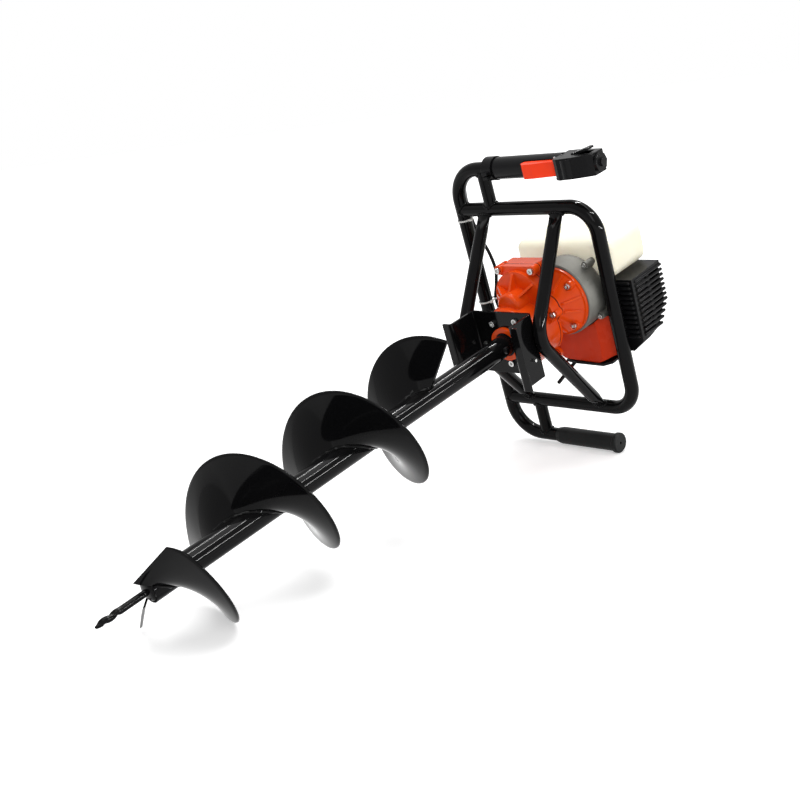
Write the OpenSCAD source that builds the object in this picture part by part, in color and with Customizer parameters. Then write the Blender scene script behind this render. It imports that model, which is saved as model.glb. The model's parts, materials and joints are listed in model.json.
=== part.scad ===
// Petrol earth auger lying on the floor: bit, reduction gearbox, two-stroke engine and tubular handle frame.
// Every piece is drawn in the machine's own frame, in millimetres, and laid down by lying():
// x runs along the hand grips, y from the throttle grip to the rubber grip, z up the auger's axis
// to the engine. The machine's zero is on the auger's axis, at the bracket's lower face.

/* [Auger bit] */
// Outer diameter of the flight
flight_d = 200; // [160:5:240]
// Advance of the flight in one turn
flight_pitch = 186; // [160:1:200]
// Turns of the flight
flight_turns = 2.92; // [2.2:0.02:3.2]
// How far the flight's root lies below its rim
flight_dish = 21; // [0:1:26]
// Thickness of the flight's plate
flight_t = 4; // [3:0.5:6]
// Angle at which the flight starts
flight_start = -32; // [-60:1:60]
// Height of the flight's start above the tube's lower end
flight_rise = 28; // [20:1:60]
// Outer diameter of the bit's tube
bit_tube_d = 36; // [34:1:42]
// Wall of the bit's tube
bit_tube_wall = 3.5; // [2.5:0.5:4.5]
// Length of the bit's tube
bit_tube_l = 737; // [680:1:800]
// Thickness of the cutter plates
cutter_t = 5; // [4:0.5:7]
// How far the cutters reach below the tube
cutter_drop = 12; // [6:1:18]
// Diameter of the pilot drill's rod
pilot_d = 9.5; // [8:0.5:12]
// Length of the pilot drill below the tube
pilot_l = 83; // [60:1:100]
// Length of the pilot drill's twisted point
pilot_point_l = 40; // [30:1:50]
// Depth of the plug that closes the tube's lower end
pilot_plug_l = 20; // [12:1:30]

/* [Handle frame] */
// Diameter of the frame tubes
tube_d = 24; // [22:0.5:26]
// Wall of the frame tubes
tube_wall = 2; // [1.5:0.5:3]
// Height of the handle plane over the bracket
frame_z = 139; // [132:1:160]
// Distance from the auger's axis to the spine
spine_x = 159; // [150:1:190]
// Distance from the auger's axis to the two grips
grip_y = 252; // [245:1:300]
// Bend radius of the handle tube
handle_bend = 55; // [40:1:60]
// Distance from the auger's axis to the loop's outer bar
loop_x = 119; // [119:1:140]
// Distance from the auger's axis to the loop's long bars
loop_y = 181; // [175:1:195]
// Bend radius of the loop tube
loop_bend = 46; // [36:1:60]
// Distance from the auger's axis to the short struts
strut_x = 91; // [80:1:100]
// Diameter of the short struts
strut_d = 22; // [18:1:24]
// Diameter of the brace tubes
brace_d = 22; // [18:1:24]
// Bend radius of the braces at the bracket
brace_bend = 40; // [30:1:60]
// Right brace's place along the loop's bars
brace_right_x = 49; // [40:1:60]
// Left brace's place along the loop's bars
brace_left_x = 106; // [90:1:115]
// How far the bend of the braces lies below the bracket's face
brace_dip = 16; // [10:1:24]
// How far the bend of the braces lies off the auger's axis
brace_lead = 18; // [10:1:24]

/* [Bracket] */
// Half width of the bracket between the outer faces of its flanges
bracket_half_x = 64; // [60:1:70]
// Half length of the bracket
bracket_half_y = 54.5; // [48:0.5:60]
// Sheet thickness of the bracket
bracket_t = 4; // [3:0.5:5]
// Depth of the bracket's flanges
flange_depth = 52; // [40:1:60]
// Width of the lip on each flange
lip_w = 12; // [8:1:18]
// Outer bend radius of the bracket's folds
fold_r = 7; // [5:0.5:9]

/* [Gearbox] */
// Module of the output gear pair
slow_module = 2; // [1.8:0.1:2.2]
// Teeth of the output gear
output_teeth = 44; // [42:1:46]
// Teeth of the layshaft's pinion
lay_pinion_teeth = 12; // [12:1:13]
// Module of the input gear pair
fast_module = 1.25; // [1.2:0.05:1.3]
// Teeth of the layshaft's gear
lay_gear_teeth = 59; // [57:1:60]
// Teeth of the clutch drum's pinion
drum_pinion_teeth = 12; // [12:1:13]
// Face width of the output gear
output_gear_w = 18; // [14:1:20]
// Face width of the layshaft's gear
lay_gear_w = 10; // [8:1:11]
// Crankshaft's offset from the auger's axis along x
crank_x = 41; // [39:0.5:43]
// Crankshaft's offset from the auger's axis along y
crank_y = -34; // [-36:0.5:-32]
// Wall of the gear case
case_wall = 6; // [4:0.5:8]
// Room round the gears in the case
gear_room = 4; // [3:0.5:5]
// Height of the joint between the two case halves
case_split = 70; // [66:1:74]
// Height of the joint between gear case and clutch housing
case_top = 100; // [97:1:108]
// Height at which the layshaft's lobe starts
lobe_z = 50; // [44:1:54]
// Diameter of the output boss that passes through the bracket
output_boss_d = 57; // [54:1:58]
// How far the output boss stands out of the bracket
output_boss_h = 6; // [4:1:8]
// Thickness of the divider plate in the case
divider_t = 12; // [11:0.5:14]
// Diameter of the case bolts
case_bolt_d = 6; // [5:1:6]

/* [Clutch and fan] */
// Outer diameter of the clutch housing
clutch_house_d = 125; // [118:1:127]
// Length of the clutch housing
clutch_house_l = 45; // [42:1:50]
// Wall of the clutch housing
clutch_house_wall = 5; // [3.5:0.5:6]
// Diameter of the clutch drum
drum_d = 78; // [72:1:84]
// Depth of the clutch drum
drum_l = 20; // [17:1:21]
// Wall of the clutch drum
drum_wall = 3; // [2:0.5:4]
// Diameter of the flywheel with its fan blades
fan_d = 104; // [96:1:108]
// Number of fan blades
fan_blades = 16; // [10:1:24]

/* [Engine] */
// Length of the crankcase along the crankshaft
crankcase_l = 60; // [56:1:66]
// Diameter of the crankcase
crankcase_d = 80; // [76:1:84]
// Cylinder bore
bore_d = 44; // [40:1:46]
// Piston stroke
stroke = 32; // [28:1:34]
// Distance between the connecting rod's eyes
rod_l = 50; // [48:1:54]
// Height of the cylinder's top over the crankshaft
cylinder_h = 92; // [90:1:94]
// Width of the cylinder's fins across the crankshaft
fin_w = 80; // [70:1:84]
// Width of the cylinder's fins along the crankshaft
fin_l = 62; // [56:1:64]
// Number of cylinder fins
fin_count = 7; // [5:1:8]
// Height of the cover's outer face over the crankshaft
cover_h = 128; // [124:1:134]
// Wall of the cylinder's cover
cover_wall = 3; // [2:0.5:4]
// Diameter of the starter housing
starter_d = 104; // [98:1:106]
// Length of the starter housing
starter_l = 40; // [36:1:44]

/* [Muffler guard] */
// Distance from the auger's axis to the guard's outer face
guard_x = 150; // [146:1:156]
// Depth of the guard across the crankshaft
guard_w = 42; // [38:1:43]
// Height at which the guard starts over the bracket
guard_z = 156; // [155:1:162]
// Length of the guard along the crankshaft
guard_l = 83; // [78:1:90]
// Wall of the guard
guard_wall = 3; // [2:0.5:4]
// Number of louvres
louvre_count = 11; // [8:1:12]
// Width of each louvre gap
louvre_gap = 4.6; // [3:0.1:5.5]

/* [Fuel tank] */
// Length of the tank across the crankshaft
tank_w = 198; // [180:1:204]
// Height of the tank
tank_h = 64; // [58:1:70]
// Length of the tank along the crankshaft
tank_l = 100; // [90:1:104]
// Corner radius of the tank
tank_r = 15; // [10:1:20]
// Wall of the tank
tank_wall = 3; // [2:0.5:4]
// Diameter of the fuel cap
cap_d = 42; // [36:1:44]

/* [Hand grips] */
// Diameter of the rubber grip
rubber_d = 31; // [29:0.5:33]
// Diameter of the rubber grip's end flange
rubber_flange_d = 36; // [34:0.5:40]
// Length of the rubber grip
rubber_l = 133; // [120:1:140]
// Diameter of the throttle grip's barrel
throttle_d = 37; // [35:0.5:40]
// Length of the throttle grip's barrel
throttle_l = 139; // [134:1:144]
// Length of the throttle grip's head
head_l = 66; // [60:1:72]
// Width of the trigger
trigger_w = 24; // [20:1:26]
// Travel of the trigger in degrees
trigger_travel = 12; // [8:1:14]
// Diameter of the throttle cable
cable_d = 6; // [5:0.5:6]

/* [Clearances] */
// Gap at a weld or a glued seat
seat_gap = 0.1; // [0.05:0.05:0.3]
// Running clearance of a shaft in its bore
run_gap = 0.05; // [0.02:0.01:0.1]
// Gap between pieces that move past each other
move_gap = 0.5; // [0.3:0.1:1]
// Backlash of the gears at the pitch circle
backlash = 0.3; // [0.2:0.05:0.4]

/* [Hidden] */
$fn = 64;
eps = 0.01;

enamel = [0.07, 0.07, 0.075];
orange = [0.93, 0.29, 0.07];
shroud_red = [0.85, 0.18, 0.06];
cast_grey = [0.58, 0.57, 0.54];
steel = [0.7, 0.7, 0.72];
bright = [0.85, 0.85, 0.86];
black_plastic = [0.12, 0.12, 0.12];
soft_black = [0.09, 0.09, 0.09];
tank_cream = [0.93, 0.91, 0.8];
tie_white = [0.95, 0.95, 0.95];
seal_brown = [0.35, 0.2, 0.12];

// Radii of the frame tubes and the bit
tube_r = tube_d / 2;
strut_r = strut_d / 2;
brace_r = brace_d / 2;
flight_r = flight_d / 2;
bit_r = bit_tube_d / 2;
bit_bore_r = bit_r - bit_tube_wall;

// Heights along the bit
coupling_gap = 1.5;
bit_top = -output_boss_h - coupling_gap;
bit_low = bit_top - bit_tube_l;
tip_z = bit_low - pilot_l;
flight_low = bit_low + flight_rise;
flight_steps = 36;
rise_per_degree = flight_pitch / 360;
function flight_z(angle) = flight_low + (angle - flight_start) * rise_per_degree;
function root_z(angle) = flight_z(angle) - flight_dish;

// Gear centres: the layshaft closes the triangle between output shaft and crankshaft
pressure_angle = 25;
slow_centres = slow_module * (output_teeth + lay_pinion_teeth) / 2;
fast_centres = fast_module * (lay_gear_teeth + drum_pinion_teeth) / 2;
crank_reach = norm([crank_x, crank_y]);
crank_angle = atan2(crank_y, crank_x);
lay_cosine = (slow_centres ^ 2 + crank_reach ^ 2 - fast_centres ^ 2) / (2 * slow_centres * crank_reach);
lay_angle = crank_angle - acos(lay_cosine);
lay_x = slow_centres * cos(lay_angle);
lay_y = slow_centres * sin(lay_angle);
lay_to_crank = atan2(crank_y - lay_y, crank_x - lay_x);

// Gear sizes
output_gear_r = slow_module * (output_teeth / 2 + 1);
lay_pinion_r = slow_module * (lay_pinion_teeth / 2 + 1);
lay_gear_r = fast_module * (lay_gear_teeth / 2 + 1);
drum_pinion_r = fast_module * (drum_pinion_teeth / 2 + 1);

// Bearings: bore, outer radius and width
output_brg = [12.5, 23.5, 12];
upper_brg = [8.5, 17.5, 10];
lay_brg = [7.5, 17.5, 11];
tail_brg = [5, 13, 8];

// Heights in the gear case
plate_z = bracket_t;
output_brg_z = plate_z - 2;
case_floor = output_brg_z + output_brg[2] + 2;
lay_boss_z = plate_z + 14;
lay_brg_z = lay_boss_z + 4;
output_gear_z = lay_brg_z + lay_brg[2] + 2;
divider_z = case_split - divider_t;
fast_gear_z = case_split + 3;
lay_top_brg_z = fast_gear_z + lay_gear_w + 3;
drum_brg_z = case_top - 5 - lay_brg[2];
disc_t = 6;
case_r = output_gear_r + gear_room + case_wall;
lobe_r = lay_gear_r + gear_room + case_wall;
disc_r = clutch_house_d / 2 - 3.5;
lay_boss_r = lay_brg[1] + 4;
lug_r = case_bolt_d + 2;
lug_z = case_split - 15;
lobe_bolt_x = 35;
lobe_bolt_y = lay_y - lobe_r - 0.5;
case_bolts = [
  [lay_x - lobe_bolt_x, lobe_bolt_y], [lay_x + lobe_bolt_x, lobe_bolt_y],
  [case_r + 6, -29], [36, case_r - 7], [-41, case_r - 11], [-case_r + 1, -28]
];

// Heights along the crankshaft
house_top = case_top + clutch_house_l;
drum_z = case_top + 4;
drum_r = drum_d / 2;
fan_z = drum_z + drum_l + 3;
fan_l = house_top - fan_z - 2;
crankcase_z = house_top;
crank_mid = crankcase_z + 35;
starter_z = crankcase_z + crankcase_l;
starter_end = starter_z + starter_l;
house_r = clutch_house_d / 2;
house_lug_r = 6;
house_lug_reach = house_r + house_lug_r - 0.5;
house_lugs = [-48, 34, 132, 214];
deck_y = crank_y + crankcase_d / 2 + 2;
cylinder_top_y = crank_y + cylinder_h;
pin_y = crank_y + stroke / 2;
gudgeon_y = pin_y + rod_l;
cover_y = crank_y + cover_h;

// Tank place
tank_x = crank_x - 15;
tank_y = crank_y - 82;
tank_z = house_top + 5;
saddle_r = starter_d / 2 + 3;
cap_x = tank_x - tank_w / 2 + 42;
cap_y = tank_y + 36;
cap_z = tank_z + tank_l;
cap_h = 14;
neck_h = 8;

// Grips along x
rubber_end = 70;
rubber_start = rubber_end - rubber_l;
throttle_start = -56;
head_start = throttle_start + throttle_l + 1;
head_end = head_start + head_l;
end_cap_l = 9;
throttle_r = throttle_d / 2;
handle_upper_end = 9;
handle_lower_end = rubber_end - 6;
trigger_start = 16;
trigger_pivot_x = head_start - 7;
trigger_pivot_z = frame_z - 13;

// Cable ties round the spine
tie_t = 1.2;
tie_gap = 0.3;

// Lying place: the flight's lowest edge and the rubber grip's flange touch the floor
flange_r = rubber_flange_d / 2;
flight_lead = flight_pitch / 2 / PI;
rim_half_t = flight_t / 2 * norm([1, flight_lead / flight_r]);
lean_guess = atan2(grip_y - flight_r, frame_z - flight_z(90)) + 1;
foot_angle = acos(tan(lean_guess) * flight_lead / flight_r);
foot_y = flight_r * sin(foot_angle);
foot_z = flight_z(foot_angle) - rim_half_t;
rest_span = norm([grip_y - foot_y, frame_z - foot_z]);
point_scale = 0.62;
rest_tilt = atan2(grip_y - foot_y, frame_z - foot_z) + asin(flange_r / rest_span);
rest_height = cos(rest_tilt) * grip_y - sin(rest_tilt) * frame_z + flange_r;
reach_low = cos(rest_tilt) * tip_z - sin(rest_tilt) * pilot_d * point_scale / 2;
reach_high = cos(rest_tilt) * (cap_z + neck_h + cap_h) + sin(rest_tilt) * (cap_y + cap_d / 2);
reach_left = -spine_x - tube_r - tie_gap - tie_t;
reach_right = head_end + end_cap_l;

module lying() {
  translate([-(reach_left + reach_right) / 2, -(reach_low + reach_high) / 2, rest_height])
    rotate([rest_tilt - 90, 0, 0]) children();
}

// Vectors and straight or bent round bars
function unit(v) = v / norm(v);
function frame_at(o, x, y) = let (z = cross(x, y)) [
  [x[0], y[0], z[0], o[0]],
  [x[1], y[1], z[1], o[1]],
  [x[2], y[2], z[2], o[2]],
  [0, 0, 0, 1]
];
function polar(r, angle, z) = [r * cos(angle), r * sin(angle), z];
function bend_cut(a, b, c, bend) = bend * tan(acos(unit(b - a) * unit(c - b)) / 2);

module pipe_section(r, wall) {
  difference() {
    circle(r);
    if (wall > 0)
      circle(r - wall);
  }
}

// Straight pipe from a to b; a wall of zero makes it solid
module bar(a, b, r, wall = 0) {
  d = b - a;
  translate(a) rotate([0, acos(d[2] / norm(d)), atan2(d[1], d[0])]) linear_extrude(norm(d))
    pipe_section(r, wall);
}

// Bend of a pipe at corner b on the way from a to c, a hair thicker than the straights that run into it
bend_grow = 0.05;
bend_lap = 1;
module elbow(a, b, c, bend, r, wall) {
  u = unit(b - a);
  w = unit(c - b);
  n = unit(w - u * (u * w));
  centre = b - u * bend_cut(a, b, c, bend) + n * bend;
  multmatrix(frame_at(centre, -n, u)) rotate_extrude(angle = acos(u * w)) translate([bend, 0])
    pipe_section(r + bend_grow, wall > 0 ? wall + 2 * bend_grow : 0);
}

// Pipe along corner points, each corner rounded with the same bend radius
module bent_pipe(points, bend, r, wall = 0) {
  last = len(points) - 1;
  for (i = [0 : last - 1]) {
    a = points[i];
    b = points[i + 1];
    u = unit(b - a);
    head = i == 0 ? 0 : bend_cut(points[i - 1], a, b, bend);
    tail = i == last - 1 ? 0 : bend_cut(a, b, points[i + 2], bend);
    bar(a + u * max(head - bend_lap, 0), b - u * max(tail - bend_lap, 0), r, wall);
    if (i < last - 1)
      elbow(a, b, points[i + 2], bend, r, wall);
  }
}

module ring(r_out, r_in, h) {
  linear_extrude(h) difference() {
    circle(r_out);
    circle(r_in);
  }
}

// Socket screw along z: the head's top is at zero and the shank runs to +z
module cap_screw(d, l, head_h = 0) {
  h = head_h > 0 ? head_h : 0.65 * d;
  difference() {
    cylinder(r = 0.85 * d, h = h);
    translate([0, 0, -1]) cylinder(r = 0.48 * d, h = 1 + 0.55 * h, $fn = 6);
  }
  translate([0, 0, 0.8 * h]) cylinder(r = d / 2, h = 0.2 * h + l);
}

// Involute gear: half tooth angles fall with the involute from the pitch circle outwards
function inv_deg(a) = tan(a) * 180 / PI - a;
function tooth_half(r, rb, half, at_pitch) =
  half + at_pitch - (r > rb ? inv_deg(acos(rb / r)) : 0);
module gear_outline(teeth, m) {
  rp = m * teeth / 2;
  rb = rp * cos(pressure_angle);
  root = rp - 1.25 * m;
  tip = rp + 0.95 * m;
  half = 90 / teeth - backlash / 4 / rp * 180 / PI;
  low = max(rb, root);
  flank = [root, low, for (k = [1 : 4]) low + (tip - low) * k / 4];
  at_pitch = inv_deg(pressure_angle);
  polygon([
    for (t = [0 : teeth - 1], side = [-1, 1], k = [0 : 5])
      let (r = flank[side < 0 ? k : 5 - k])
      let (a = 360 * t / teeth + side * tooth_half(r, rb, half, at_pitch))
      [r * cos(a), r * sin(a)]
  ]);
}

// Plate lofted between an inner and an outer edge line, with a constant thickness along z
module ruled_plate(first, second, steps, t) {
  row = [for (i = [0 : steps]) [
    first[0] + (second[0] - first[0]) * i / steps,
    first[1] + (second[1] - first[1]) * i / steps
  ]];
  points = [for (e = row) each [
    e[0] - [0, 0, t / 2], e[1] - [0, 0, t / 2], e[1] + [0, 0, t / 2], e[0] + [0, 0, t / 2]
  ]];
  strip_solid(points, 4);
}

// Closed solid through equal rings of points, with flat ends
module strip_solid(points, sides) {
  rings = len(points) / sides;
  faces = [
    for (i = [0 : rings - 2], k = [0 : sides - 1])
      let (a = i * sides + k, b = i * sides + (k + 1) % sides)
      each [[a, b, b + sides], [a, b + sides, a + sides]]
  ];
  first_end = [for (k = [0 : sides - 1]) sides - 1 - k];
  last_end = [for (k = [0 : sides - 1]) (rings - 1) * sides + k];
  polyhedron(points, concat(faces, [first_end, last_end]), convexity = 8);
}

// Auger bit
module auger_tube() {
  color(enamel) lying() difference() {
    translate([0, 0, bit_low]) ring(bit_r, bit_bore_r, bit_tube_l);
    coupling_hole();
  }
}

coupling_z = bit_top - 20;
coupling_bolt_d = 6;
coupling_angle = -4;
module coupling_hole() {
  translate([0, 0, coupling_z]) rotate([0, 90, coupling_angle])
    cylinder(d = coupling_bolt_d + 2 * run_gap, h = 2 * bit_tube_d, center = true);
}

module auger_flight() {
  total = flight_turns * 360;
  count = ceil(flight_turns * flight_steps);
  inner = bit_r + seat_gap + 0.1;
  points = [
    for (i = [0 : count])
      let (a = flight_start + total * i / count)
      let (ti = flight_t / 2 * norm([1, flight_lead / inner]), to = rim_half_t)
      each [
        polar(inner, a, root_z(a) - ti), polar(flight_r, a, flight_z(a) - to),
        polar(flight_r, a, flight_z(a) + to), polar(inner, a, root_z(a) + ti)
      ]
  ];
  color(enamel) lying() strip_solid(points, 4);
}

// The leading cutter carries the flight on as a plate down to a straight cutting edge
cutter_in = bit_r + 1.2;
cutter_gap = 1.2;
module tube_room() {
  translate([0, 0, bit_low - seat_gap]) cylinder(r = bit_r + seat_gap, h = 4 * bit_r);
}
module leading_cutter() {
  back = flight_start - cutter_gap;
  color(enamel) lying() difference() {
    ruled_plate(
      [polar(cutter_in, back, root_z(back)), polar(flight_r - 1, back, flight_z(back))],
      [polar(cutter_in, flight_start - 74, bit_low - cutter_drop),
        polar(flight_r - 12, flight_start - 18, bit_low + flight_rise - 10)],
      6, cutter_t);
    tube_room();
  }
}

module trailing_cutter() {
  color(enamel) lying() difference() {
    ruled_plate(
      [polar(cutter_in, flight_start + 182, bit_low + 10), polar(flight_r, flight_start + 171, bit_low + 14)],
      [polar(cutter_in, flight_start + 134, bit_low - cutter_drop),
        polar(flight_r, flight_start + 163, bit_low + 1)],
      6, cutter_t);
    tube_room();
  }
}

// The pilot's point is a round bar wound round the axis, thinner towards the tip
module pilot_drill() {
  shank_l = pilot_l - pilot_point_l;
  color(enamel) lying() {
    translate([0, 0, bit_low + seat_gap]) cylinder(r = bit_bore_r - seat_gap, h = pilot_plug_l);
    translate([0, 0, bit_low - shank_l]) cylinder(d = pilot_d, h = shank_l + 1);
    translate([0, 0, bit_low - shank_l + 1]) mirror([0, 0, 1])
      linear_extrude(pilot_point_l + 1, twist = -540, scale = point_scale, slices = 40, $fn = 12)
        translate([pilot_d / 8, 0]) circle(d = pilot_d * 0.95, $fn = 12);
  }
}

module coupling_bolt() {
  reach = bit_r + 2;
  color(bright) lying() translate([0, 0, coupling_z]) rotate([0, 90, coupling_angle]) {
    cylinder(d = coupling_bolt_d, h = 2 * reach + 8, center = true);
    translate([0, 0, bit_r + seat_gap]) cylinder(r = coupling_bolt_d * 0.95, h = 5, $fn = 6);
    translate([0, 0, -bit_r - seat_gap - 6]) cylinder(r = coupling_bolt_d * 0.95, h = 6, $fn = 6);
  }
}

// Output shaft: a socket spigot for the bit, a seal land, two bearing seats and a gear seat
spigot_l = 55;
module output_shaft() {
  journal = output_brg[0] - run_gap;
  upper = upper_brg[0] - run_gap;
  color(steel) lying() difference() {
    union() {
      translate([0, 0, bit_top - spigot_l]) cylinder(r = bit_bore_r - run_gap, h = spigot_l + 1);
      translate([0, 0, bit_top]) cylinder(r = journal, h = output_gear_z + output_gear_w - bit_top);
      translate([0, 0, output_gear_z + output_gear_w]) cylinder(r = journal + 3, h = 4);
      translate([0, 0, output_gear_z + output_gear_w + 3])
        cylinder(r = upper, h = case_split - output_gear_z - output_gear_w - 4);
    }
    coupling_hole();
  }
}

module output_gear() {
  color(steel) lying() translate([0, 0, output_gear_z]) linear_extrude(output_gear_w) difference() {
    rotate(lay_angle) gear_outline(output_teeth, slow_module);
    circle(output_brg[0]);
    for (a = [0 : 60 : 300])
      rotate(a) translate([output_gear_r * 0.6, 0]) circle(d = output_gear_r * 0.24);
  }
}

module at_lay() {
  translate([lay_x, lay_y, 0]) children();
}
module at_crank() {
  translate([crank_x, crank_y, 0]) children();
}

lay_pinion_z = output_gear_z - 1;
lay_pinion_w = output_gear_w + 2;
module layshaft() {
  journal = lay_brg[0] - run_gap;
  color(steel) lying() at_lay() {
    translate([0, 0, lay_brg_z]) cylinder(r = journal, h = lay_top_brg_z + lay_brg[2] - lay_brg_z);
    translate([0, 0, lay_pinion_z]) linear_extrude(lay_pinion_w)
      rotate(lay_angle + 180 + 180 / lay_pinion_teeth) gear_outline(lay_pinion_teeth, slow_module);
    translate([0, 0, lay_pinion_z + lay_pinion_w - 1])
      cylinder(r = journal + 2, h = fast_gear_z - lay_pinion_z - lay_pinion_w + 1);
  }
}

module layshaft_gear() {
  web = lay_gear_r * 0.62;
  color(steel) lying() at_lay() translate([0, 0, fast_gear_z]) difference() {
    linear_extrude(lay_gear_w) difference() {
      rotate(lay_to_crank) gear_outline(lay_gear_teeth, fast_module);
      circle(lay_brg[0]);
    }
    for (z = [-1, lay_gear_w - 2])
      translate([0, 0, z]) ring(lay_gear_r * 0.8, lay_brg[0] + 6, 3);
    for (a = [0 : 72 : 288])
      rotate(a) translate([web, 0, -1]) cylinder(d = web * 0.35, h = lay_gear_w + 2);
  }
}

// Clutch drum with its shaft and pinion in one piece
module clutch_drum() {
  journal = lay_brg[0] - run_gap;
  tail = tail_brg[0] - run_gap;
  color(steel) lying() at_crank() {
    translate([0, 0, case_split - tail_brg[2]]) cylinder(r = tail, h = tail_brg[2] + 4);
    translate([0, 0, fast_gear_z - 1]) linear_extrude(lay_gear_w + 2)
      rotate(lay_to_crank + 180 + 180 / drum_pinion_teeth)
        gear_outline(drum_pinion_teeth, fast_module);
    translate([0, 0, fast_gear_z + lay_gear_w + 1])
      cylinder(r = journal, h = drum_z - fast_gear_z - lay_gear_w);
    translate([0, 0, drum_z]) difference() {
      cylinder(r = drum_r, h = drum_l);
      translate([0, 0, drum_wall]) cylinder(r = drum_r - drum_wall, h = drum_l);
      for (a = [0 : 60 : 300])
        rotate(a) translate([drum_r * 0.62, 0, -1]) cylinder(d = drum_r * 0.25, h = drum_wall + 2);
    }
  }
}

// Outline of the case's mouth, grown or shrunk by g
module mouth_outline(g) {
  circle(output_gear_r + gear_room + g);
  translate([lay_x, lay_y]) circle(lay_gear_r + gear_room - 2 + g);
  translate([crank_x, crank_y]) circle(tail_brg[1] + 1.5 + g);
}

module case_lugs(z, h) {
  for (p = case_bolts)
    translate([p[0], p[1], z]) cylinder(r = lug_r, h = h);
}

// Flat wall and webs that tie the lugs to the round lobes, set back from the joint face
web_step = 0.6;
module lug_webs(z, h) {
  web = 2 * lug_r - 3;
  translate([lay_x - lobe_bolt_x, lobe_bolt_y - lug_r + 2, z])
    cube([2 * lobe_bolt_x, 2 * lug_r, h]);
  for (i = [2 : len(case_bolts) - 1])
    translate([0, 0, z]) rotate(atan2(case_bolts[i][1], case_bolts[i][0]))
      translate([case_r - 3 * lug_r, -web / 2, 0])
        cube([norm(case_bolts[i]) - case_r + 3 * lug_r, web, h]);
}

module lower_outside() {
  chamfer = 5;
  translate([0, 0, plate_z]) rotate_extrude() polygon([
    [0, 0], [case_r - chamfer, 0], [case_r, chamfer], [case_r, case_split - plate_z],
    [0, case_split - plate_z]
  ]);
  translate([0, 0, -output_boss_h]) cylinder(d = output_boss_d, h = output_boss_h + plate_z + 1);
  at_lay() {
    translate([0, 0, lobe_z]) cylinder(r = lobe_r, h = case_split - lobe_z);
    translate([0, 0, lay_boss_z]) cylinder(r1 = lay_boss_r - 3, r2 = lay_boss_r, h = 3);
    translate([0, 0, lay_boss_z + 3]) cylinder(r = lay_boss_r, h = lobe_z - lay_boss_z);
    lobe_ribs();
  }
  at_crank() translate([0, 0, divider_z - 8])
    cylinder(r = tail_brg[1] + 5 + case_wall, h = case_split - divider_z + 8);
  case_lugs(lug_z, case_split - lug_z);
  lug_webs(lug_z + 3, case_split - lug_z - 3 - web_step);
}

// Star ribs from the layshaft's boss to the rim of its lobe
rib_t = 4;
rib_angles = [-150, -92, -38, 190];
module lobe_ribs() {
  for (a = rib_angles)
    rotate([90, 0, a]) translate([0, 0, -rib_t / 2]) linear_extrude(rib_t) polygon([
      [lay_boss_r - 1, lobe_z + 1], [lobe_r - 2, lobe_z + 1], [lobe_r - 4, lobe_z - 3],
      [lay_boss_r - 1, lay_boss_z + 12]
    ]);
}

module gearbox_lower() {
  color(orange) lying() difference() {
    lower_outside();
    difference() {
      translate([0, 0, case_floor]) cylinder(r = output_gear_r + gear_room, h = case_split);
      at_lay() cylinder(r = lay_boss_r, h = lay_brg_z + lay_brg[2]);
    }
    translate([0, 0, output_brg_z]) cylinder(r = output_brg[1] + run_gap, h = case_split);
    translate([0, 0, -output_boss_h - 1])
      cylinder(r = output_brg[1] - 3, h = output_boss_h + output_brg_z + 2);
    at_lay() translate([0, 0, lay_brg_z]) cylinder(r = lay_brg[1] + run_gap, h = case_split);
    translate([0, 0, divider_z]) linear_extrude(divider_t + 1) mouth_outline(2 + seat_gap);
    for (p = case_bolts) {
      translate([p[0], p[1], lug_z - 1]) cylinder(d = case_bolt_d + 2 * run_gap, h = case_split);
      translate([p[0], p[1], plate_z - 1]) cylinder(r = case_bolt_d + 0.5, h = lug_z - plate_z + 1);
    }
    for (p = bracket_holes)
      translate([p[0], p[1], plate_z - 1]) cylinder(d = bracket_bolt_d + 2 * run_gap, h = 11);
  }
}

module gearbox_divider() {
  color(orange) lying() difference() {
    translate([0, 0, divider_z + seat_gap]) linear_extrude(divider_t - 2 * seat_gap)
      mouth_outline(2);
    translate([0, 0, divider_z - 1]) cylinder(r = upper_brg[1] + run_gap, h = upper_brg[2] + 1);
    translate([0, 0, divider_z - 1]) cylinder(r = upper_brg[0] + 3, h = divider_t + 2);
    at_crank() {
      translate([0, 0, case_split - tail_brg[2]])
        cylinder(r = tail_brg[1] + run_gap, h = divider_t);
      translate([0, 0, divider_z - 1]) cylinder(r = tail_brg[0] + 3, h = divider_t + 2);
    }
    at_lay() translate([0, 0, divider_z - 1]) cylinder(r = lay_pinion_r + 3, h = divider_t + 2);
  }
}

// Upper half: lobe over the layshaft, dished cone and disc under the clutch housing
module upper_outside() {
  roof = 9;
  translate([0, 0, case_split]) cylinder(r = case_r, h = roof - 3);
  translate([0, 0, case_split + roof - 3]) cylinder(r1 = case_r, r2 = case_r - 6, h = 3);
  at_lay() translate([0, 0, case_split]) cylinder(r = lobe_r, h = case_top - case_split - 3);
  at_crank() {
    translate([0, 0, case_split])
      cylinder(r1 = tail_brg[1] + 5 + case_wall, r2 = disc_r - 4, h = case_top - disc_t - case_split);
    translate([0, 0, case_top - disc_t]) cylinder(r = disc_r, h = disc_t);
    cone_ribs();
  }
  case_lugs(case_split, 8);
  lug_webs(case_split + web_step, 8 - 2 * web_step);
  translate([lay_x - lobe_bolt_x, lobe_bolt_y - lug_r + 2, case_split])
    cube([2 * lobe_bolt_x, 2 * lug_r, case_top - case_split - 3]);
  for (a = disc_bolts)
    at_crank() rotate(a) translate([disc_bolt_reach, 0, case_top - disc_t - 9])
      cylinder(r = lug_r, h = disc_t + 9);
}

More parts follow.
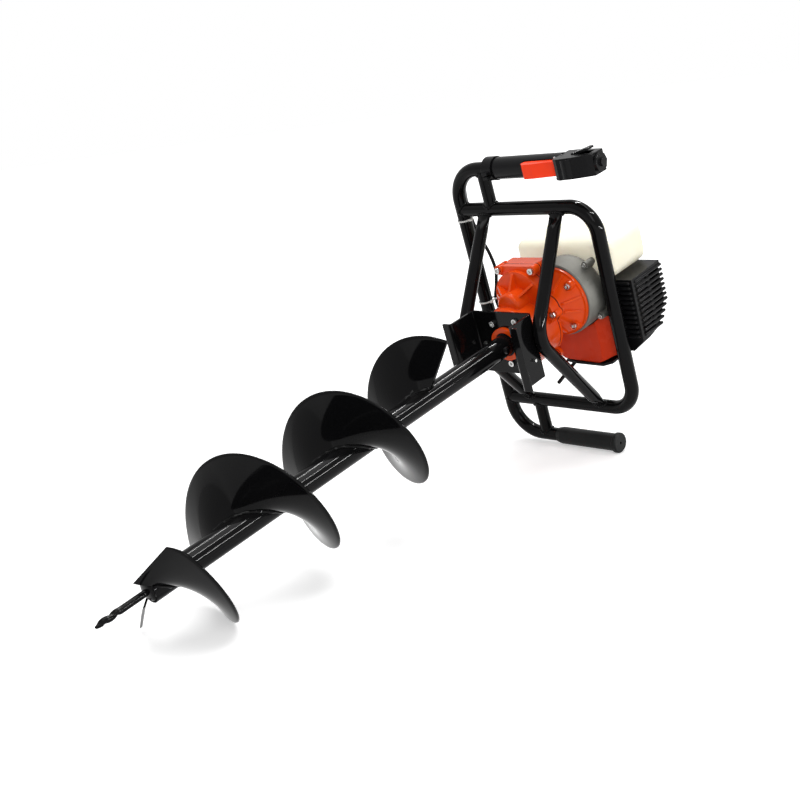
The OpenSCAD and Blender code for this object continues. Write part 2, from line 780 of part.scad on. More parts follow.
cone_rib_angles = [-62, -12, 14, 82];
module cone_ribs() {
  foot = tail_brg[1] + 5 + case_wall;
  for (a = cone_rib_angles)
    rotate([90, 0, a]) translate([0, 0, -rib_t / 2]) linear_extrude(rib_t) polygon([
      [foot - 2, case_split + 2], [foot + 9, case_split + 2], [disc_r - 4, case_top - disc_t - 3],
      [disc_r - 4, case_top - disc_t + 1], [foot - 2, case_top - disc_t + 1]
    ]);
}

disc_bolts = [-40, 48, 110];
disc_bolt_reach = disc_r - 9;
module gearbox_upper() {
  color(orange) lying() difference() {
    upper_outside();
    at_lay() {
      translate([0, 0, case_split - 1])
        cylinder(r = lay_gear_r + gear_room - 1, h = lay_top_brg_z - case_split + 1);
      translate([0, 0, lay_top_brg_z - 1]) cylinder(r = lay_brg[1] + run_gap, h = lay_brg[2] + 1);
    }
    translate([0, 0, case_split - 1]) cylinder(r = upper_brg[0] + 3, h = 5);
    at_crank() {
      translate([0, 0, case_split - 1])
        cylinder(r = drum_pinion_r + 2.5, h = drum_brg_z - case_split + 1);
      translate([0, 0, drum_brg_z]) cylinder(r = lay_brg[1] + run_gap, h = lay_brg[2] + 6);
    }
    for (p = case_bolts)
      translate([p[0], p[1], case_split - 1]) cylinder(d = case_bolt_d + 2 * run_gap, h = 8);
    for (a = disc_bolts)
      at_crank() rotate(a) translate([disc_bolt_reach, 0, case_split])
        cylinder(d = case_bolt_d + 2 * run_gap, h = case_top);
  }
}

module gearbox_bolts() {
  color(bright) lying() {
    for (p = case_bolts)
      translate([p[0], p[1], lug_z - 4.6]) cap_screw(case_bolt_d, case_split - lug_z + 6, 4.5);
    for (a = disc_bolts)
      at_crank() rotate(a) translate([disc_bolt_reach, 0, case_top - disc_t - 13.6])
        cap_screw(case_bolt_d, disc_t + 8, 4.5);
  }
}

// Sealed ball bearing: two races with a recessed shield between them
module ball_bearing(size) {
  race = (size[1] - size[0]) * 0.3;
  inner = size[0] + race;
  outer = size[1] - race;
  h = size[2];
  rotate_extrude() polygon([
    [size[0], 0], [inner, 0], [inner, 1], [outer, 1], [outer, 0], [size[1], 0],
    [size[1], h], [outer, h], [outer, h - 1], [inner, h - 1], [inner, h], [size[0], h]
  ]);
}

module gearbox_bearings() {
  color(steel) lying() {
    translate([0, 0, output_brg_z + seat_gap]) ball_bearing(output_brg);
    translate([0, 0, divider_z + seat_gap])
      ball_bearing([upper_brg[0], upper_brg[1], upper_brg[2] - 2 * seat_gap]);
    at_lay() {
      translate([0, 0, lay_brg_z + seat_gap]) ball_bearing(lay_brg);
      translate([0, 0, lay_top_brg_z + seat_gap])
        ball_bearing([lay_brg[0], lay_brg[1], lay_brg[2] - 2 * seat_gap]);
    }
    at_crank() {
      translate([0, 0, case_split - tail_brg[2] + seat_gap])
        ball_bearing([tail_brg[0], tail_brg[1], tail_brg[2] - 2 * seat_gap]);
      translate([0, 0, drum_brg_z + seat_gap]) ball_bearing(lay_brg);
    }
  }
}

module output_seal() {
  color(seal_brown) lying() translate([0, 0, -output_boss_h + 0.5]) difference() {
    ring(output_brg[1] - 3 - run_gap, output_brg[0] + run_gap, output_boss_h + output_brg_z - 0.6);
    translate([0, 0, -1]) ring(output_brg[1] - 7, output_brg[0] + 2.5, 3);
  }
}

// Clutch housing, flywheel and clutch
module clutch_housing() {
  bead = 2;
  color(cast_grey) lying() at_crank() difference() {
    union() {
      translate([0, 0, case_top]) rotate_extrude() polygon([
        [drum_r + move_gap + 2, 0], [house_r - bead, 0], [house_r, bead], [house_r, clutch_house_l],
        [house_r - clutch_house_wall, clutch_house_l], [house_r - clutch_house_wall, 6],
        [drum_r + move_gap + 2, 6]
      ]);
      for (a = house_lugs)
        rotate(a) translate([house_lug_reach, 0, house_top - 17]) cylinder(r = house_lug_r, h = 17);
      for (a = house_lugs)
        rotate(a) translate([house_r - 3, -house_lug_r * 0.8, house_top - 15])
          cube([house_lug_r, 1.6 * house_lug_r, 15]);
    }
    for (a = house_lugs)
      rotate(a) translate([house_lug_reach, 0, case_top])
        cylinder(d = house_bolt_d + 2 * run_gap, h = clutch_house_l + 1);
    for (a = disc_bolts)
      rotate(a) translate([disc_bolt_reach, 0, case_top - 1])
        cylinder(d = case_bolt_d + 2 * run_gap, h = 5);
  }
}

house_bolt_d = 5;
module clutch_housing_bolts() {
  color(bright) lying() at_crank()
    for (a = house_lugs)
      rotate(a) translate([house_lug_reach, 0, house_top - 17 - 3.6])
        cap_screw(house_bolt_d, 20, 3.5);
}

// Two hinged shoes that swing out to the drum, each with its pivot bolt
module clutch_shoes() {
  r = drum_r - drum_wall - 1.5;
  w = drum_l - drum_wall - 4;
  color(steel) lying() at_crank() translate([0, 0, drum_z + drum_wall + 2])
    for (a = [0, 180])
      rotate(a) {
        linear_extrude(w) difference() {
          intersection() {
            circle(r);
            translate([3, -r]) square([r, 2 * r]);
          }
          circle(r * 0.42);
          translate([r * 0.62, r * 0.45]) circle(d = 8.2);
        }
        translate([r * 0.62, r * 0.45, 0])
          cylinder(d = 8, h = fan_z - drum_z - drum_wall - 2 - seat_gap);
      }
}

module flywheel() {
  hub = drum_r - 6;
  r = fan_d / 2;
  blade_t = 2.5;
  color(cast_grey) lying() at_crank() translate([0, 0, fan_z]) difference() {
    union() {
      cylinder(r = hub, h = fan_l);
      translate([0, 0, fan_l - 3]) cylinder(r = r - 6, h = 3);
      for (i = [0 : fan_blades - 1])
        rotate(i * 360 / fan_blades) translate([hub - 2, -blade_t / 2, 0])
          cube([r - hub + 1, blade_t, fan_l]);
    }
    translate([0, 0, -1]) cylinder(r = crank_r + seat_gap, h = fan_l + 2);
  }
}

// Engine
crank_r = 8;
main_brg_r = 14;
web_r = 27;
web_w = 9;
web_gap = 13;
crank_pin_r = 7;
lug_plate_h = tank_z - house_top - 0.6;
deck_z = crank_mid - 29;
deck_l = starter_z - seat_gap - deck_z;
module crankcase() {
  wall = 7;
  room = crankcase_d / 2 - wall;
  deck = bore_d + 26;
  color(cast_grey) lying() difference() {
    union() {
      at_crank() translate([0, 0, crankcase_z + seat_gap])
        cylinder(d = crankcase_d, h = crankcase_l - 2 * seat_gap);
      translate([crank_x - deck / 2, crank_y, deck_z]) cube([deck, deck_y - crank_y, deck_l]);
      at_crank()
        for (a = house_lugs)
          rotate(a) {
            translate([house_lug_reach, 0, crankcase_z + seat_gap])
              cylinder(r = house_lug_r, h = lug_plate_h);
            translate([crankcase_d / 2 - 6, -house_lug_r, crankcase_z + seat_gap])
              cube([house_lug_reach - crankcase_d / 2 + 6, 2 * house_lug_r, lug_plate_h]);
          }
    }
    at_crank() {
      translate([0, 0, crank_mid - web_gap / 2 - web_w - 2])
        cylinder(r = room, h = web_gap + 2 * web_w + 4);
      translate([0, 0, crankcase_z - 1]) cylinder(r = crank_r + run_gap, h = crankcase_l + 2);
      for (a = house_lugs)
        rotate(a) translate([house_lug_reach, 0, crankcase_z - 1])
          cylinder(d = house_bolt_d + 2 * run_gap, h = 10);
    }
    translate([crank_x, crank_y, crank_mid]) rotate([-90, 0, 0])
      cylinder(d = bore_d, h = deck_y - crank_y + 1);
  }
}

module crankshaft() {
  color(steel) lying() at_crank() {
    translate([0, 0, fan_z - 8]) cylinder(r = crank_r, h = crank_mid - web_gap / 2 - fan_z + 8);
    translate([0, 0, crank_mid + web_gap / 2])
      cylinder(r = crank_r, h = starter_z + 6 - crank_mid - web_gap / 2);
    for (s = [-1, 1])
      translate([0, 0, crank_mid + s * (web_gap + web_w) / 2]) intersection() {
        cylinder(r = web_r, h = web_w, center = true);
        translate([0, -8, 0]) cube([2.2 * web_r, 2 * web_r, web_w], center = true);
      }
    translate([0, stroke / 2, crank_mid]) cylinder(r = crank_pin_r, h = web_gap + 2, center = true);
  }
}

gudgeon_r = 5;
module connecting_rod() {
  w = 10;
  color(steel) lying() translate([crank_x, 0, crank_mid]) difference() {
    union() {
      translate([0, pin_y, 0]) cylinder(r = crank_pin_r + 4.5, h = w, center = true);
      translate([0, gudgeon_y, 0]) cylinder(r = gudgeon_r + 3.5, h = w, center = true);
      translate([0, (pin_y + gudgeon_y) / 2, 0]) cube([9, gudgeon_y - pin_y, 6], center = true);
    }
    translate([0, pin_y, 0]) cylinder(r = crank_pin_r + run_gap, h = w + 2, center = true);
    translate([0, gudgeon_y, 0]) cylinder(r = gudgeon_r + run_gap, h = w + 2, center = true);
  }
}

// Piston with ring grooves and its gudgeon pin
piston_h = 30;
module piston() {
  r = bore_d / 2 - run_gap;
  crown = gudgeon_y + 14;
  color(cast_grey) lying() translate([crank_x, 0, crank_mid]) {
    difference() {
      translate([0, crown - piston_h, 0]) rotate([-90, 0, 0]) difference() {
        cylinder(r = r, h = piston_h);
        translate([0, 0, -1]) cylinder(r = r - 4, h = piston_h - 4);
        for (z = [5, 9])
          translate([0, 0, piston_h - z]) ring(r + 1, r - 1.5, 1.5);
      }
      translate([0, gudgeon_y, 0]) cylinder(r = gudgeon_r + run_gap, h = bore_d, center = true);
    }
    translate([0, gudgeon_y, 0]) cylinder(r = gudgeon_r, h = bore_d - 8, center = true);
  }
}

// Finned cylinder with its ports and plug thread
plug_r = 7;
module cylinder_barrel_hole() {
  translate([crank_x, crank_y, crank_mid]) rotate([-90, 0, 0])
    cylinder(d = bore_d, h = cylinder_h - 10);
}
module cylinder_fins() {
  fin_t = 2;
  first = max(deck_y + 8, crank_y + starter_d / 2 + 3);
  step = (cylinder_top_y - fin_t - first) / (fin_count - 1);
  for (i = [0 : fin_count - 1])
    translate([crank_x - fin_w / 2, first + i * step, crank_mid - fin_l / 2])
      cube([fin_w, fin_t, fin_l]);
}
module finned_cylinder() {
  color(cast_grey) lying() difference() {
    union() {
      translate([crank_x, deck_y + seat_gap, crank_mid]) rotate([-90, 0, 0])
        cylinder(d = bore_d + 14, h = cylinder_top_y - deck_y - 2);
      translate([crank_x - bore_d / 2 - 10, deck_y + seat_gap, deck_z])
        cube([bore_d + 20, 5, deck_l]);
      cylinder_fins();
      translate([crank_x + bore_d / 2, deck_y + 12, crank_mid - 14])
        cube([fin_w / 2 - bore_d / 2 + 3, 28, 28]);
      translate([crank_x - fin_w / 2 - 3, deck_y + 12, crank_mid - 14])
        cube([fin_w / 2 - bore_d / 2 + 3, 28, 28]);
    }
    cylinder_barrel_hole();
    at_crank() translate([0, 0, starter_z - seat_gap])
      cylinder(r = starter_d / 2 + seat_gap, h = starter_l);
    translate([crank_x - fin_w, deck_y + 26, crank_mid]) rotate([0, 90, 0])
      cylinder(r = 9, h = 2 * fin_w);
    translate([crank_x, cylinder_top_y - 20, crank_mid]) rotate([-90, 0, 0])
      cylinder(r = plug_r + run_gap, h = 30);
  }
}

module spark_plug() {
  seat = cylinder_top_y;
  color(tie_white) lying() translate([crank_x, seat, crank_mid]) rotate([-90, 0, 0]) {
    translate([0, 0, -12]) cylinder(r = plug_r, h = 13);
    translate([0, 0, seat_gap]) cylinder(r = 11, h = 8, $fn = 6);
    translate([0, 0, 8]) cylinder(r1 = 7, r2 = 5, h = 14);
    translate([0, 0, 21]) cylinder(r = 3.2, h = 6);
  }
}

// Faceted cover over the cylinder: a front outline and a plan outline cut each other
cover_front_z = house_top - 11;
cover_back_z = crank_mid + 44;
cover_right = crank_x + 63;
cover_left = crank_x - 54;
cover_ear = cover_left - 9;
module cover_block(g) {
  low = g > 0 ? 40 : 0;
  intersection() {
    translate([0, 0, cover_front_z - 10]) linear_extrude(cover_back_z - cover_front_z + 20)
      polygon([
        [cover_ear + g, cover_y - 12 - g / 2], [cover_ear + 10 + g, cover_y - 66 - low],
        [cover_right - 5 - g, cover_y - 84 - low], [cover_right - g, cover_y - 14 - g / 2],
        [cover_right - 36, cover_y - g], [cover_ear + 16, cover_y - 2 - g]
      ]);
    translate([0, cover_y + 10, 0]) rotate([90, 0, 0]) linear_extrude(200) polygon([
      [cover_left + g, cover_front_z + 19], [cover_ear + g, cover_front_z + 12],
      [cover_ear + g, cover_front_z + 4 + g], [crank_x - 22, cover_front_z + g],
      [crank_x + 37, cover_front_z - 2 + g], [cover_right - g, cover_front_z + 12 + g],
      [cover_right - g, cover_back_z - g], [cover_left + g, cover_back_z - g]
    ]);
  }
}

module cylinder_cover() {
  color(shroud_red) lying() difference() {
    cover_block(0);
    cover_block(cover_wall);
    at_crank() translate([0, 0, cover_front_z - 20])
      cylinder(r = house_r + 1.5, h = house_top - cover_front_z + 25);
    at_crank()
      for (a = house_lugs)
        rotate(a) translate([house_lug_reach, 0, cover_front_z - 20])
          cylinder(r = house_lug_r + 1.5, h = house_top - cover_front_z + 30);
    translate([cover_left - 1, cover_y - 90, crank_mid - 25]) cube([cover_wall + 12, 57, 44]);
    translate([cover_right - cover_wall - 8, cover_y - 90, crank_mid - 22])
      cube([cover_wall + 12, 62, 50]);
  }
}

module cover_base() {
  t = 4;
  color(black_plastic) lying() translate([0, cover_y + seat_gap + t, 0]) rotate([90, 0, 0])
    linear_extrude(t) polygon([
      [cover_ear + 18, cover_front_z + 2], [crank_x - 22, cover_front_z - 3],
      [crank_x + 37, cover_front_z - 5], [cover_right - 14, cover_front_z + 7],
      [cover_right - 14, cover_back_z - 3], [cover_ear + 18, cover_back_z - 3]
    ]);
}

// Muffler and its louvred guard
muffler_gap = 6;
guard_low = crank_y + 113;
guard_slant = [22, 18];
module guard_outline(g) {
  z0 = guard_z + g;
  z1 = guard_z + guard_l - g;
  y0 = crank_y - 14 + g;
  y1 = guard_low - g;
  polygon([
    [z0, y0], [z1, y0 - 2], [z1, y1 - 60], [z1 - 26, y1 - 26], [z0 + 18, y1 - 18], [z0 + 3, y1], [z0, y1]
  ]);
}
module zy_prism(x0, l) {
  translate([x0 + l, 0, 0]) rotate([0, -90, 0]) linear_extrude(l) children();
}

// The guard's box, shrunk by g, with its lower outer corner slanted off
module guard_block(g) {
  inner = guard_x - guard_w - (g > 0 ? 1 : 0);
  intersection() {
    zy_prism(inner, guard_x - g - inner) guard_outline(g);
    translate([0, 0, guard_z - 1]) linear_extrude(guard_l + 2) polygon([
      [inner - 1, crank_y - 40], [guard_x + guard_slant[0], crank_y - 40],
      [guard_x + guard_slant[0], guard_low - 2 * guard_slant[1] - g],
      [guard_x - guard_slant[0], guard_low - g], [inner - 1, guard_low - g]
    ]);
  }
}
module muffler() {
  x0 = crank_x + fin_w / 2 + 3 + seat_gap;
  x1 = cover_right + 1.5;
  x2 = guard_x - guard_wall - muffler_gap;
  color(steel) lying() {
    translate([x1, crank_y + 6, guard_z + 14]) cube([x2 - x1, 66, guard_l - 38]);
    translate([x0, deck_y + 16, crank_mid - 12]) cube([x1 - x0 + 1, 20, 24]);
  }
}

// Posts in the plain band between the louvres seat the guard on the muffler
module guard_posts() {
  for (y = [16, 62])
    translate([guard_x - guard_wall - muffler_gap + seat_gap, crank_y + y, guard_z + guard_l / 2 + 3])
      rotate([0, 90, 0]) cylinder(r = 3.4, h = muffler_gap + 0.5);
}

module muffler_guard() {
  first = crank_y - 6;
  step = 94 / louvre_count;
  color(black_plastic) lying() guard_posts();
  color(black_plastic) lying() difference() {
    guard_block(0);
    guard_block(guard_wall);
    for (i = [0 : louvre_count - 1])
      translate([0, first + i * step, 0]) {
        translate([guard_x - guard_w + 6, 0, guard_z - 1])
          cube([guard_w - 10, louvre_gap, 1 + guard_wall * 0.6]);
        translate([guard_x - guard_wall - 1, 0, guard_z + 6])
          cube([guard_wall + 2, louvre_gap, guard_l * 0.42]);
        translate([guard_x - guard_wall - 1, 0, guard_z + guard_l * 0.58])
          cube([guard_wall + 2, louvre_gap, guard_l]);
      }
  }
}

// Thin breather pipe that hangs from under the cover
breather_d = 6.5;
module breather_pipe() {
  top = [crank_x - 34, cover_y + 4 + 2 * seat_gap + breather_d / 2, cover_front_z + 14];
  color(soft_black) lying() bar(top, top + [4, 12, -62], breather_d / 2, 1);
}

// Carburettor side: body, filter box, levers and primer
carb_x = crank_x - fin_w / 2 - 3;
carb_y = deck_y + 26;
carb_l = 30;
carb_w = 30;
module carburettor() {
  color(cast_grey) lying() difference() {
    union() {
      translate([carb_x - 8 - seat_gap, carb_y - 13, crank_mid - 13]) cube([8, 26, 26]);
      translate([carb_x - 8 - carb_l, carb_y - carb_w / 2, crank_mid - carb_w / 2])
        cube([carb_l, carb_w, carb_w]);
      translate([carb_x - 8 - carb_l / 2, carb_y + carb_w / 2 - 1, crank_mid]) rotate([-90, 0, 0])
        cylinder(r = 5, h = 5);
    }
    translate([carb_x - carb_l - 10, carb_y, crank_mid]) rotate([0, 90, 0])
      cylinder(r = 8, h = carb_l + 12);
    translate([carb_x - 8 - carb_l / 2, carb_y - carb_w / 2 - 1, crank_mid]) rotate([-90, 0, 0])
      cylinder(r = primer_r + move_gap, h = 6);
    translate([carb_x - 8 - carb_l / 2, carb_y, crank_mid]) rotate([-90, 0, 0])
      cylinder(r = 2 + run_gap, h = carb_w);
  }
}

throttle_lever_y = carb_y + carb_w / 2 + 4 + move_gap;
module throttle_lever() {
  color(bright) lying() translate([carb_x - 8 - carb_l / 2, throttle_lever_y, crank_mid])
    rotate([-90, 0, 0]) {
      linear_extrude(2) difference() {
        union() {
          circle(5);
          rotate(30) translate([0, -2.5]) square([15, 5]);
        }
        rotate(30) translate([12, 0]) circle(1);
      }
      translate([0, 0, -8]) cylinder(r = 2, h = 10);
    }
}

primer_r = 9;
primer_travel = 4;
module primer_bulb() {
  color([0.5, 0.1, 0.08]) lying()
    translate([carb_x - 8 - carb_l / 2, carb_y - carb_w / 2, crank_mid]) rotate([90, 0, 0]) {
      intersection() {
        sphere(primer_r);
        cylinder(r = primer_r + 1, h = primer_r + 1);
      }
      translate([0, 0, -1 + seat_gap]) cylinder(r = primer_r, h = 1);
    }
}

filter_w = 34;
filter_x = carb_x - 8 - carb_l - filter_w;
module air_filter() {
  h = 56;
  l = 48;
  color(black_plastic) lying() translate([filter_x - seat_gap, carb_y - h / 2, crank_mid - l / 2])
    difference() {
      union() {
        translate([8, 0, 0]) cube([filter_w - 8, h, l]);
        translate([0, 5, 5]) cube([10, h - 10, l - 10]);
        translate([-4, h / 2, l / 2]) rotate([0, 90, 0]) cylinder(r = 8, h = 6, $fn = 6);
      }
      translate([12, 4, 4]) cube([filter_w - 16, h - 8, l - 8]);
      translate([filter_w - 10, h / 2, l / 2]) rotate([0, 90, 0]) cylinder(r = 8, h = 12);
      for (i = [0 : 4])
        translate([filter_w - 14, 8 + i * 9, -1]) cube([6, 4, 6]);
    }
}

choke_x = carb_x - 8 - carb_l + 9;
module choke_lever() {
  color(black_plastic) lying() translate([choke_x, carb_y, crank_mid - carb_w / 2 - move_gap]) {
    translate([0, 0, -3]) cylinder(r = 5, h = 3);
    rotate(-60) translate([0, -2.5, -3]) cube([22, 5, 3]);
    rotate(-60) translate([22, 0, -6]) cylinder(r = 4, h = 6);
  }
}

// Recoil starter
starter_wall = 3;
pulley_r = 28;
rope_r = 1.8;
post_r = 10;
module starter_housing() {
  r = starter_d / 2;
  color(black_plastic) lying() at_crank() difference() {
    translate([0, 0, starter_z]) rotate_extrude() polygon([
      [0, starter_l / 2 - 7], [post_r, starter_l / 2 - 7], [post_r, starter_l - starter_wall],
      [r - 12, starter_l - starter_wall],
      [r - starter_wall, starter_l - 12], [r - starter_wall, 0], [r, 0], [r, starter_l - 11],
      [r - 11, starter_l], [0, starter_l]
    ]);
    for (a = [0 : 30 : 330])
      rotate(a) translate([r * 0.42, -2.5, starter_end - starter_wall - 1])
        cube([r * 0.3, 5, starter_wall + 2]);
    translate([0, pulley_r, starter_z + starter_l / 2]) rotate([0, -90, 0])
      cylinder(r = rope_r + move_gap, h = starter_d);
    translate([-r - 1, pulley_r - 7, starter_z + starter_l / 2 - 12]) cube([16, 14, 24]);
  }
}

module starter_pulley() {
  w = 11;
  rim = pulley_r + 3;
  groove = pulley_r - rope_r - move_gap;
  color(black_plastic) lying() at_crank() translate([0, 0, starter_z + starter_l / 2 - w / 2])
    rotate_extrude() polygon([
      [post_r + run_gap, 0], [rim, 0], [rim, 2], [groove, 3], [groove, w - 3], [rim, w - 2], [rim, w],
      [post_r + run_gap, w]
    ]);
}

starter_pull = 60;
module starter_handle() {
  r = starter_d / 2;
  color(black_plastic) lying() translate([crank_x, crank_y + pulley_r, starter_z + starter_l / 2]) {
    rotate([0, -90, 0]) cylinder(r = rope_r, h = r + 6);
    translate([-r - 16, 0, 0]) rotate([90, 0, 0]) cylinder(r = 7, h = 54, center = true);
    translate([-r - 13, 0, 0]) rotate([0, 90, 0]) cylinder(r1 = 8, r2 = 5, h = 14);
  }
}

// Saddle tank over the crankcase
module tank_block(g) {
  r = tank_r - g;
  hull()
    for (x = [-1, 1], y = [0, 1], z = [0, 1])
      translate([
        tank_x + x * (tank_w / 2 - tank_r), tank_y + tank_r + y * (tank_h - 2 * tank_r),
        tank_z + tank_r + z * (tank_l - 2 * tank_r)
      ])
        sphere(r, $fn = 24);
}

module fuel_tank() {
  color(tank_cream) lying() {
    difference() {
      tank_block(0);
      difference() {
        tank_block(tank_wall);
        at_crank() translate([0, 0, tank_z - 1]) cylinder(r = saddle_r + tank_wall, h = tank_l + 2);
      }
      at_crank() translate([0, 0, tank_z - 1]) cylinder(r = saddle_r, h = tank_l + 2);
      translate([cap_x, cap_y, cap_z - tank_wall - 1])
        cylinder(r = cap_d / 2 - 7, h = tank_wall + 2);
    }
    translate([cap_x, cap_y, cap_z - 1]) ring(cap_d / 2 - 4, cap_d / 2 - 7, neck_h + 1);
  }
}

module fuel_cap() {
  r = cap_d / 2;
  grips = 16;
  color(black_plastic) lying() translate([cap_x, cap_y, cap_z + 2]) difference() {
    union() {
      cylinder(r = r - 1.5, h = neck_h + cap_h - 2);
      for (i = [0 : grips - 1])
        rotate(i * 360 / grips) translate([r - 2, 0, 0]) cylinder(r = 2, h = neck_h + cap_h - 5);
    }
    translate([0, 0, -1]) cylinder(r = r - 4 + run_gap, h = neck_h - 2 + move_gap + 1);
  }
}

// Bracket of folded sheet with two flanges and lips
bracket_bolt_d = 6;
bracket_holes = [[-21, -34], [28, -40], [0, 36]];
rivet_place = [-47, 2];
flange_stud = [18, -18];
module fold(r, t) {
  intersection() {
    difference() {
      circle(r);
      circle(r - t);
    }
    square(r);
  }
}
module bracket_section() {
  inner = fold_r - bracket_t;
  for (s = [-1, 1])
    mirror([s < 0 ? 1 : 0, 0]) {
      translate([-eps, 0]) square([bracket_half_x - fold_r + eps, bracket_t]);
      translate([bracket_half_x - fold_r, bracket_t - fold_r]) fold(fold_r, bracket_t);
      translate([bracket_half_x - bracket_t, inner - flange_depth])
        square([bracket_t, flange_depth - inner + bracket_t - fold_r]);
      translate([bracket_half_x + inner, inner - flange_depth]) mirror([1, 0]) mirror([0, 1])
        fold(fold_r, bracket_t);
      translate([bracket_half_x + inner, -flange_depth - bracket_t]) square([lip_w, bracket_t]);
    }
}
module bracket() {
  color(enamel) lying() difference() {
    rotate([90, 0, 0]) linear_extrude(2 * bracket_half_y, center = true) bracket_section();
    translate([0, 0, -1]) cylinder(d = output_boss_d + 2 * seat_gap, h = bracket_t + 2);
    for (p = bracket_holes)
      translate([p[0], p[1], -1]) cylinder(d = bracket_bolt_d + 2 * run_gap, h = bracket_t + 2);
    translate([rivet_place[0], rivet_place[1], -1])
      cylinder(d = 4 + 2 * run_gap, h = bracket_t + 2);
  }
}

module bracket_bolts() {
  color(bright) lying() {
    for (p = bracket_holes)
      translate([p[0], p[1], -4 - seat_gap]) cap_screw(bracket_bolt_d, bracket_t + 8, 4);
    translate([rivet_place[0], rivet_place[1], -2 - seat_gap]) cylinder(d = 7, h = 2);
    translate([rivet_place[0], rivet_place[1], -1]) cylinder(d = 4, h = bracket_t);
    translate([bracket_half_x + seat_gap, flange_stud[0], flange_stud[1]]) rotate([0, 90, 0])
      cylinder(d = 5, h = 5);
  }
}

// Handle frame of welded tubes
module spine_cut() {
  bar([-spine_x, -grip_y, frame_z], [-spine_x, grip_y, frame_z], tube_r + seat_gap);
}
module loop_bars_cut() {
  for (s = [-1, 1])
    bar([-spine_x, s * loop_y, frame_z], [loop_x, s * loop_y, frame_z], tube_r + seat_gap);
}
module handle_tube() {
  color(enamel) lying() bent_pipe([
    [handle_upper_end, -grip_y, frame_z], [-spine_x, -grip_y, frame_z],
    [-spine_x, grip_y, frame_z], [handle_lower_end, grip_y, frame_z]
  ], handle_bend, tube_r, tube_wall);
}

module loop_tube() {
  color(enamel) lying() difference() {
    bent_pipe([
      [-spine_x, -loop_y, frame_z], [loop_x, -loop_y, frame_z],
      [loop_x, loop_y, frame_z], [-spine_x, loop_y, frame_z]
    ], loop_bend, tube_r, tube_wall);
    spine_cut();
  }
}

module handle_struts() {
  color(enamel) lying()
    for (s = [-1, 1])
      difference() {
        bar([-strut_x, s * loop_y, frame_z], [-strut_x, s * grip_y, frame_z], strut_r, tube_wall);
        loop_bars_cut();
        bar([-spine_x, s * grip_y, frame_z], [0, s * grip_y, frame_z], tube_r + seat_gap);
      }
}

brace_foot_x = bracket_half_x + brace_r + 4;
module brace(side, top_x) {
  difference() {
    bent_pipe([
      [side * top_x, -loop_y, frame_z], [side * brace_foot_x, -brace_lead, -brace_dip],
      [side * top_x, loop_y, frame_z]
    ], brace_bend, brace_r, tube_wall);
    loop_bars_cut();
  }
}
module brace_left() {
  color(enamel) lying() brace(-1, brace_left_x);
}
module brace_right() {
  color(enamel) lying() brace(1, brace_right_x);
}

// Hand grips
module along_grip(x, y) {
  translate([x, y, frame_z]) rotate([0, 90, 0]) children();
}
module rubber_grip() {
  r = rubber_d / 2;
  flange_w = 8;
  taper = 9;
  color(soft_black) lying() along_grip(rubber_start, grip_y) difference() {
    rotate_extrude() polygon([
      [0, 0], [tube_r + 1.5, 0], [r, taper], [r, rubber_l - flange_w - 2],
      [flange_r, rubber_l - flange_w], [flange_r, rubber_l - 2], [flange_r - 2, rubber_l], [0, rubber_l]
    ]);
    translate([0, 0, -1]) cylinder(r = tube_r + run_gap, h = handle_lower_end - rubber_start + 1);
    cylinder(r = 2.5, h = rubber_l + 1);
  }
}

// Throttle grip: barrel, trigger slot and head
slot_clear = 1;
module throttle_grip() {
  color(black_plastic) lying() difference() {
    union() {
      along_grip(throttle_start, -grip_y) {
        cylinder(r1 = throttle_r - 2, r2 = throttle_r, h = 4);
        translate([0, 0, 4]) cylinder(r = throttle_r, h = throttle_l - 3);
      }
      throttle_head();
    }
    along_grip(throttle_start - 1, -grip_y)
      cylinder(r = tube_r + run_gap, h = handle_upper_end - throttle_start + 2);
    translate([
      trigger_start - 3, -grip_y - trigger_w / 2 - slot_clear, frame_z - 2 * throttle_r
    ])
      cube([head_start - trigger_start + 4, trigger_w + 2 * slot_clear, 2 * throttle_r + 6]);
    translate([trigger_pivot_x, -grip_y, trigger_pivot_z]) rotate([90, 0, 0])
      cylinder(r = pin_r + run_gap, h = 2 * throttle_d, center = true);
    lockout_room();
    stop_switch_room();
  }
}

// Head outline seen from the bit's side of the handle
module throttle_head() {
  translate([0, -grip_y + 17, frame_z]) rotate([90, 0, 0]) linear_extrude(34) polygon([
    [head_start, -28], [head_start + 8, -31], [head_start + 30, -27], [head_end - 10, -18],
    [head_end, -14], [head_end, 15], [head_start + 20, 18], [head_start, 17]
  ]);
  translate([head_start + 21, -grip_y, frame_z - 20]) rotate([90, 0, 0])
    cylinder(r = 12, h = 30, center = true);
}

pin_r = 2;
module trigger_pin() {
  color(steel) lying() translate([trigger_pivot_x, -grip_y, trigger_pivot_z]) rotate([90, 0, 0])
    cylinder(r = pin_r, h = trigger_w + 8, center = true);
}

module trigger() {
  end = head_start - 2;
  color([0.95, 0.22, 0.1]) lying() difference() {
    translate([0, -grip_y + trigger_w / 2, frame_z]) rotate([90, 0, 0]) linear_extrude(trigger_w)
      polygon([
        [trigger_start, -15], [trigger_start, -25], [trigger_start + 6, -31],
        [trigger_start + 24, -30], [end, -22], [end, -8], [trigger_pivot_x - 12, -8]
      ]);
    translate([trigger_pivot_x, -grip_y, trigger_pivot_z]) rotate([90, 0, 0])
      cylinder(r = pin_r + run_gap, h = 2 * trigger_w, center = true);
  }
}

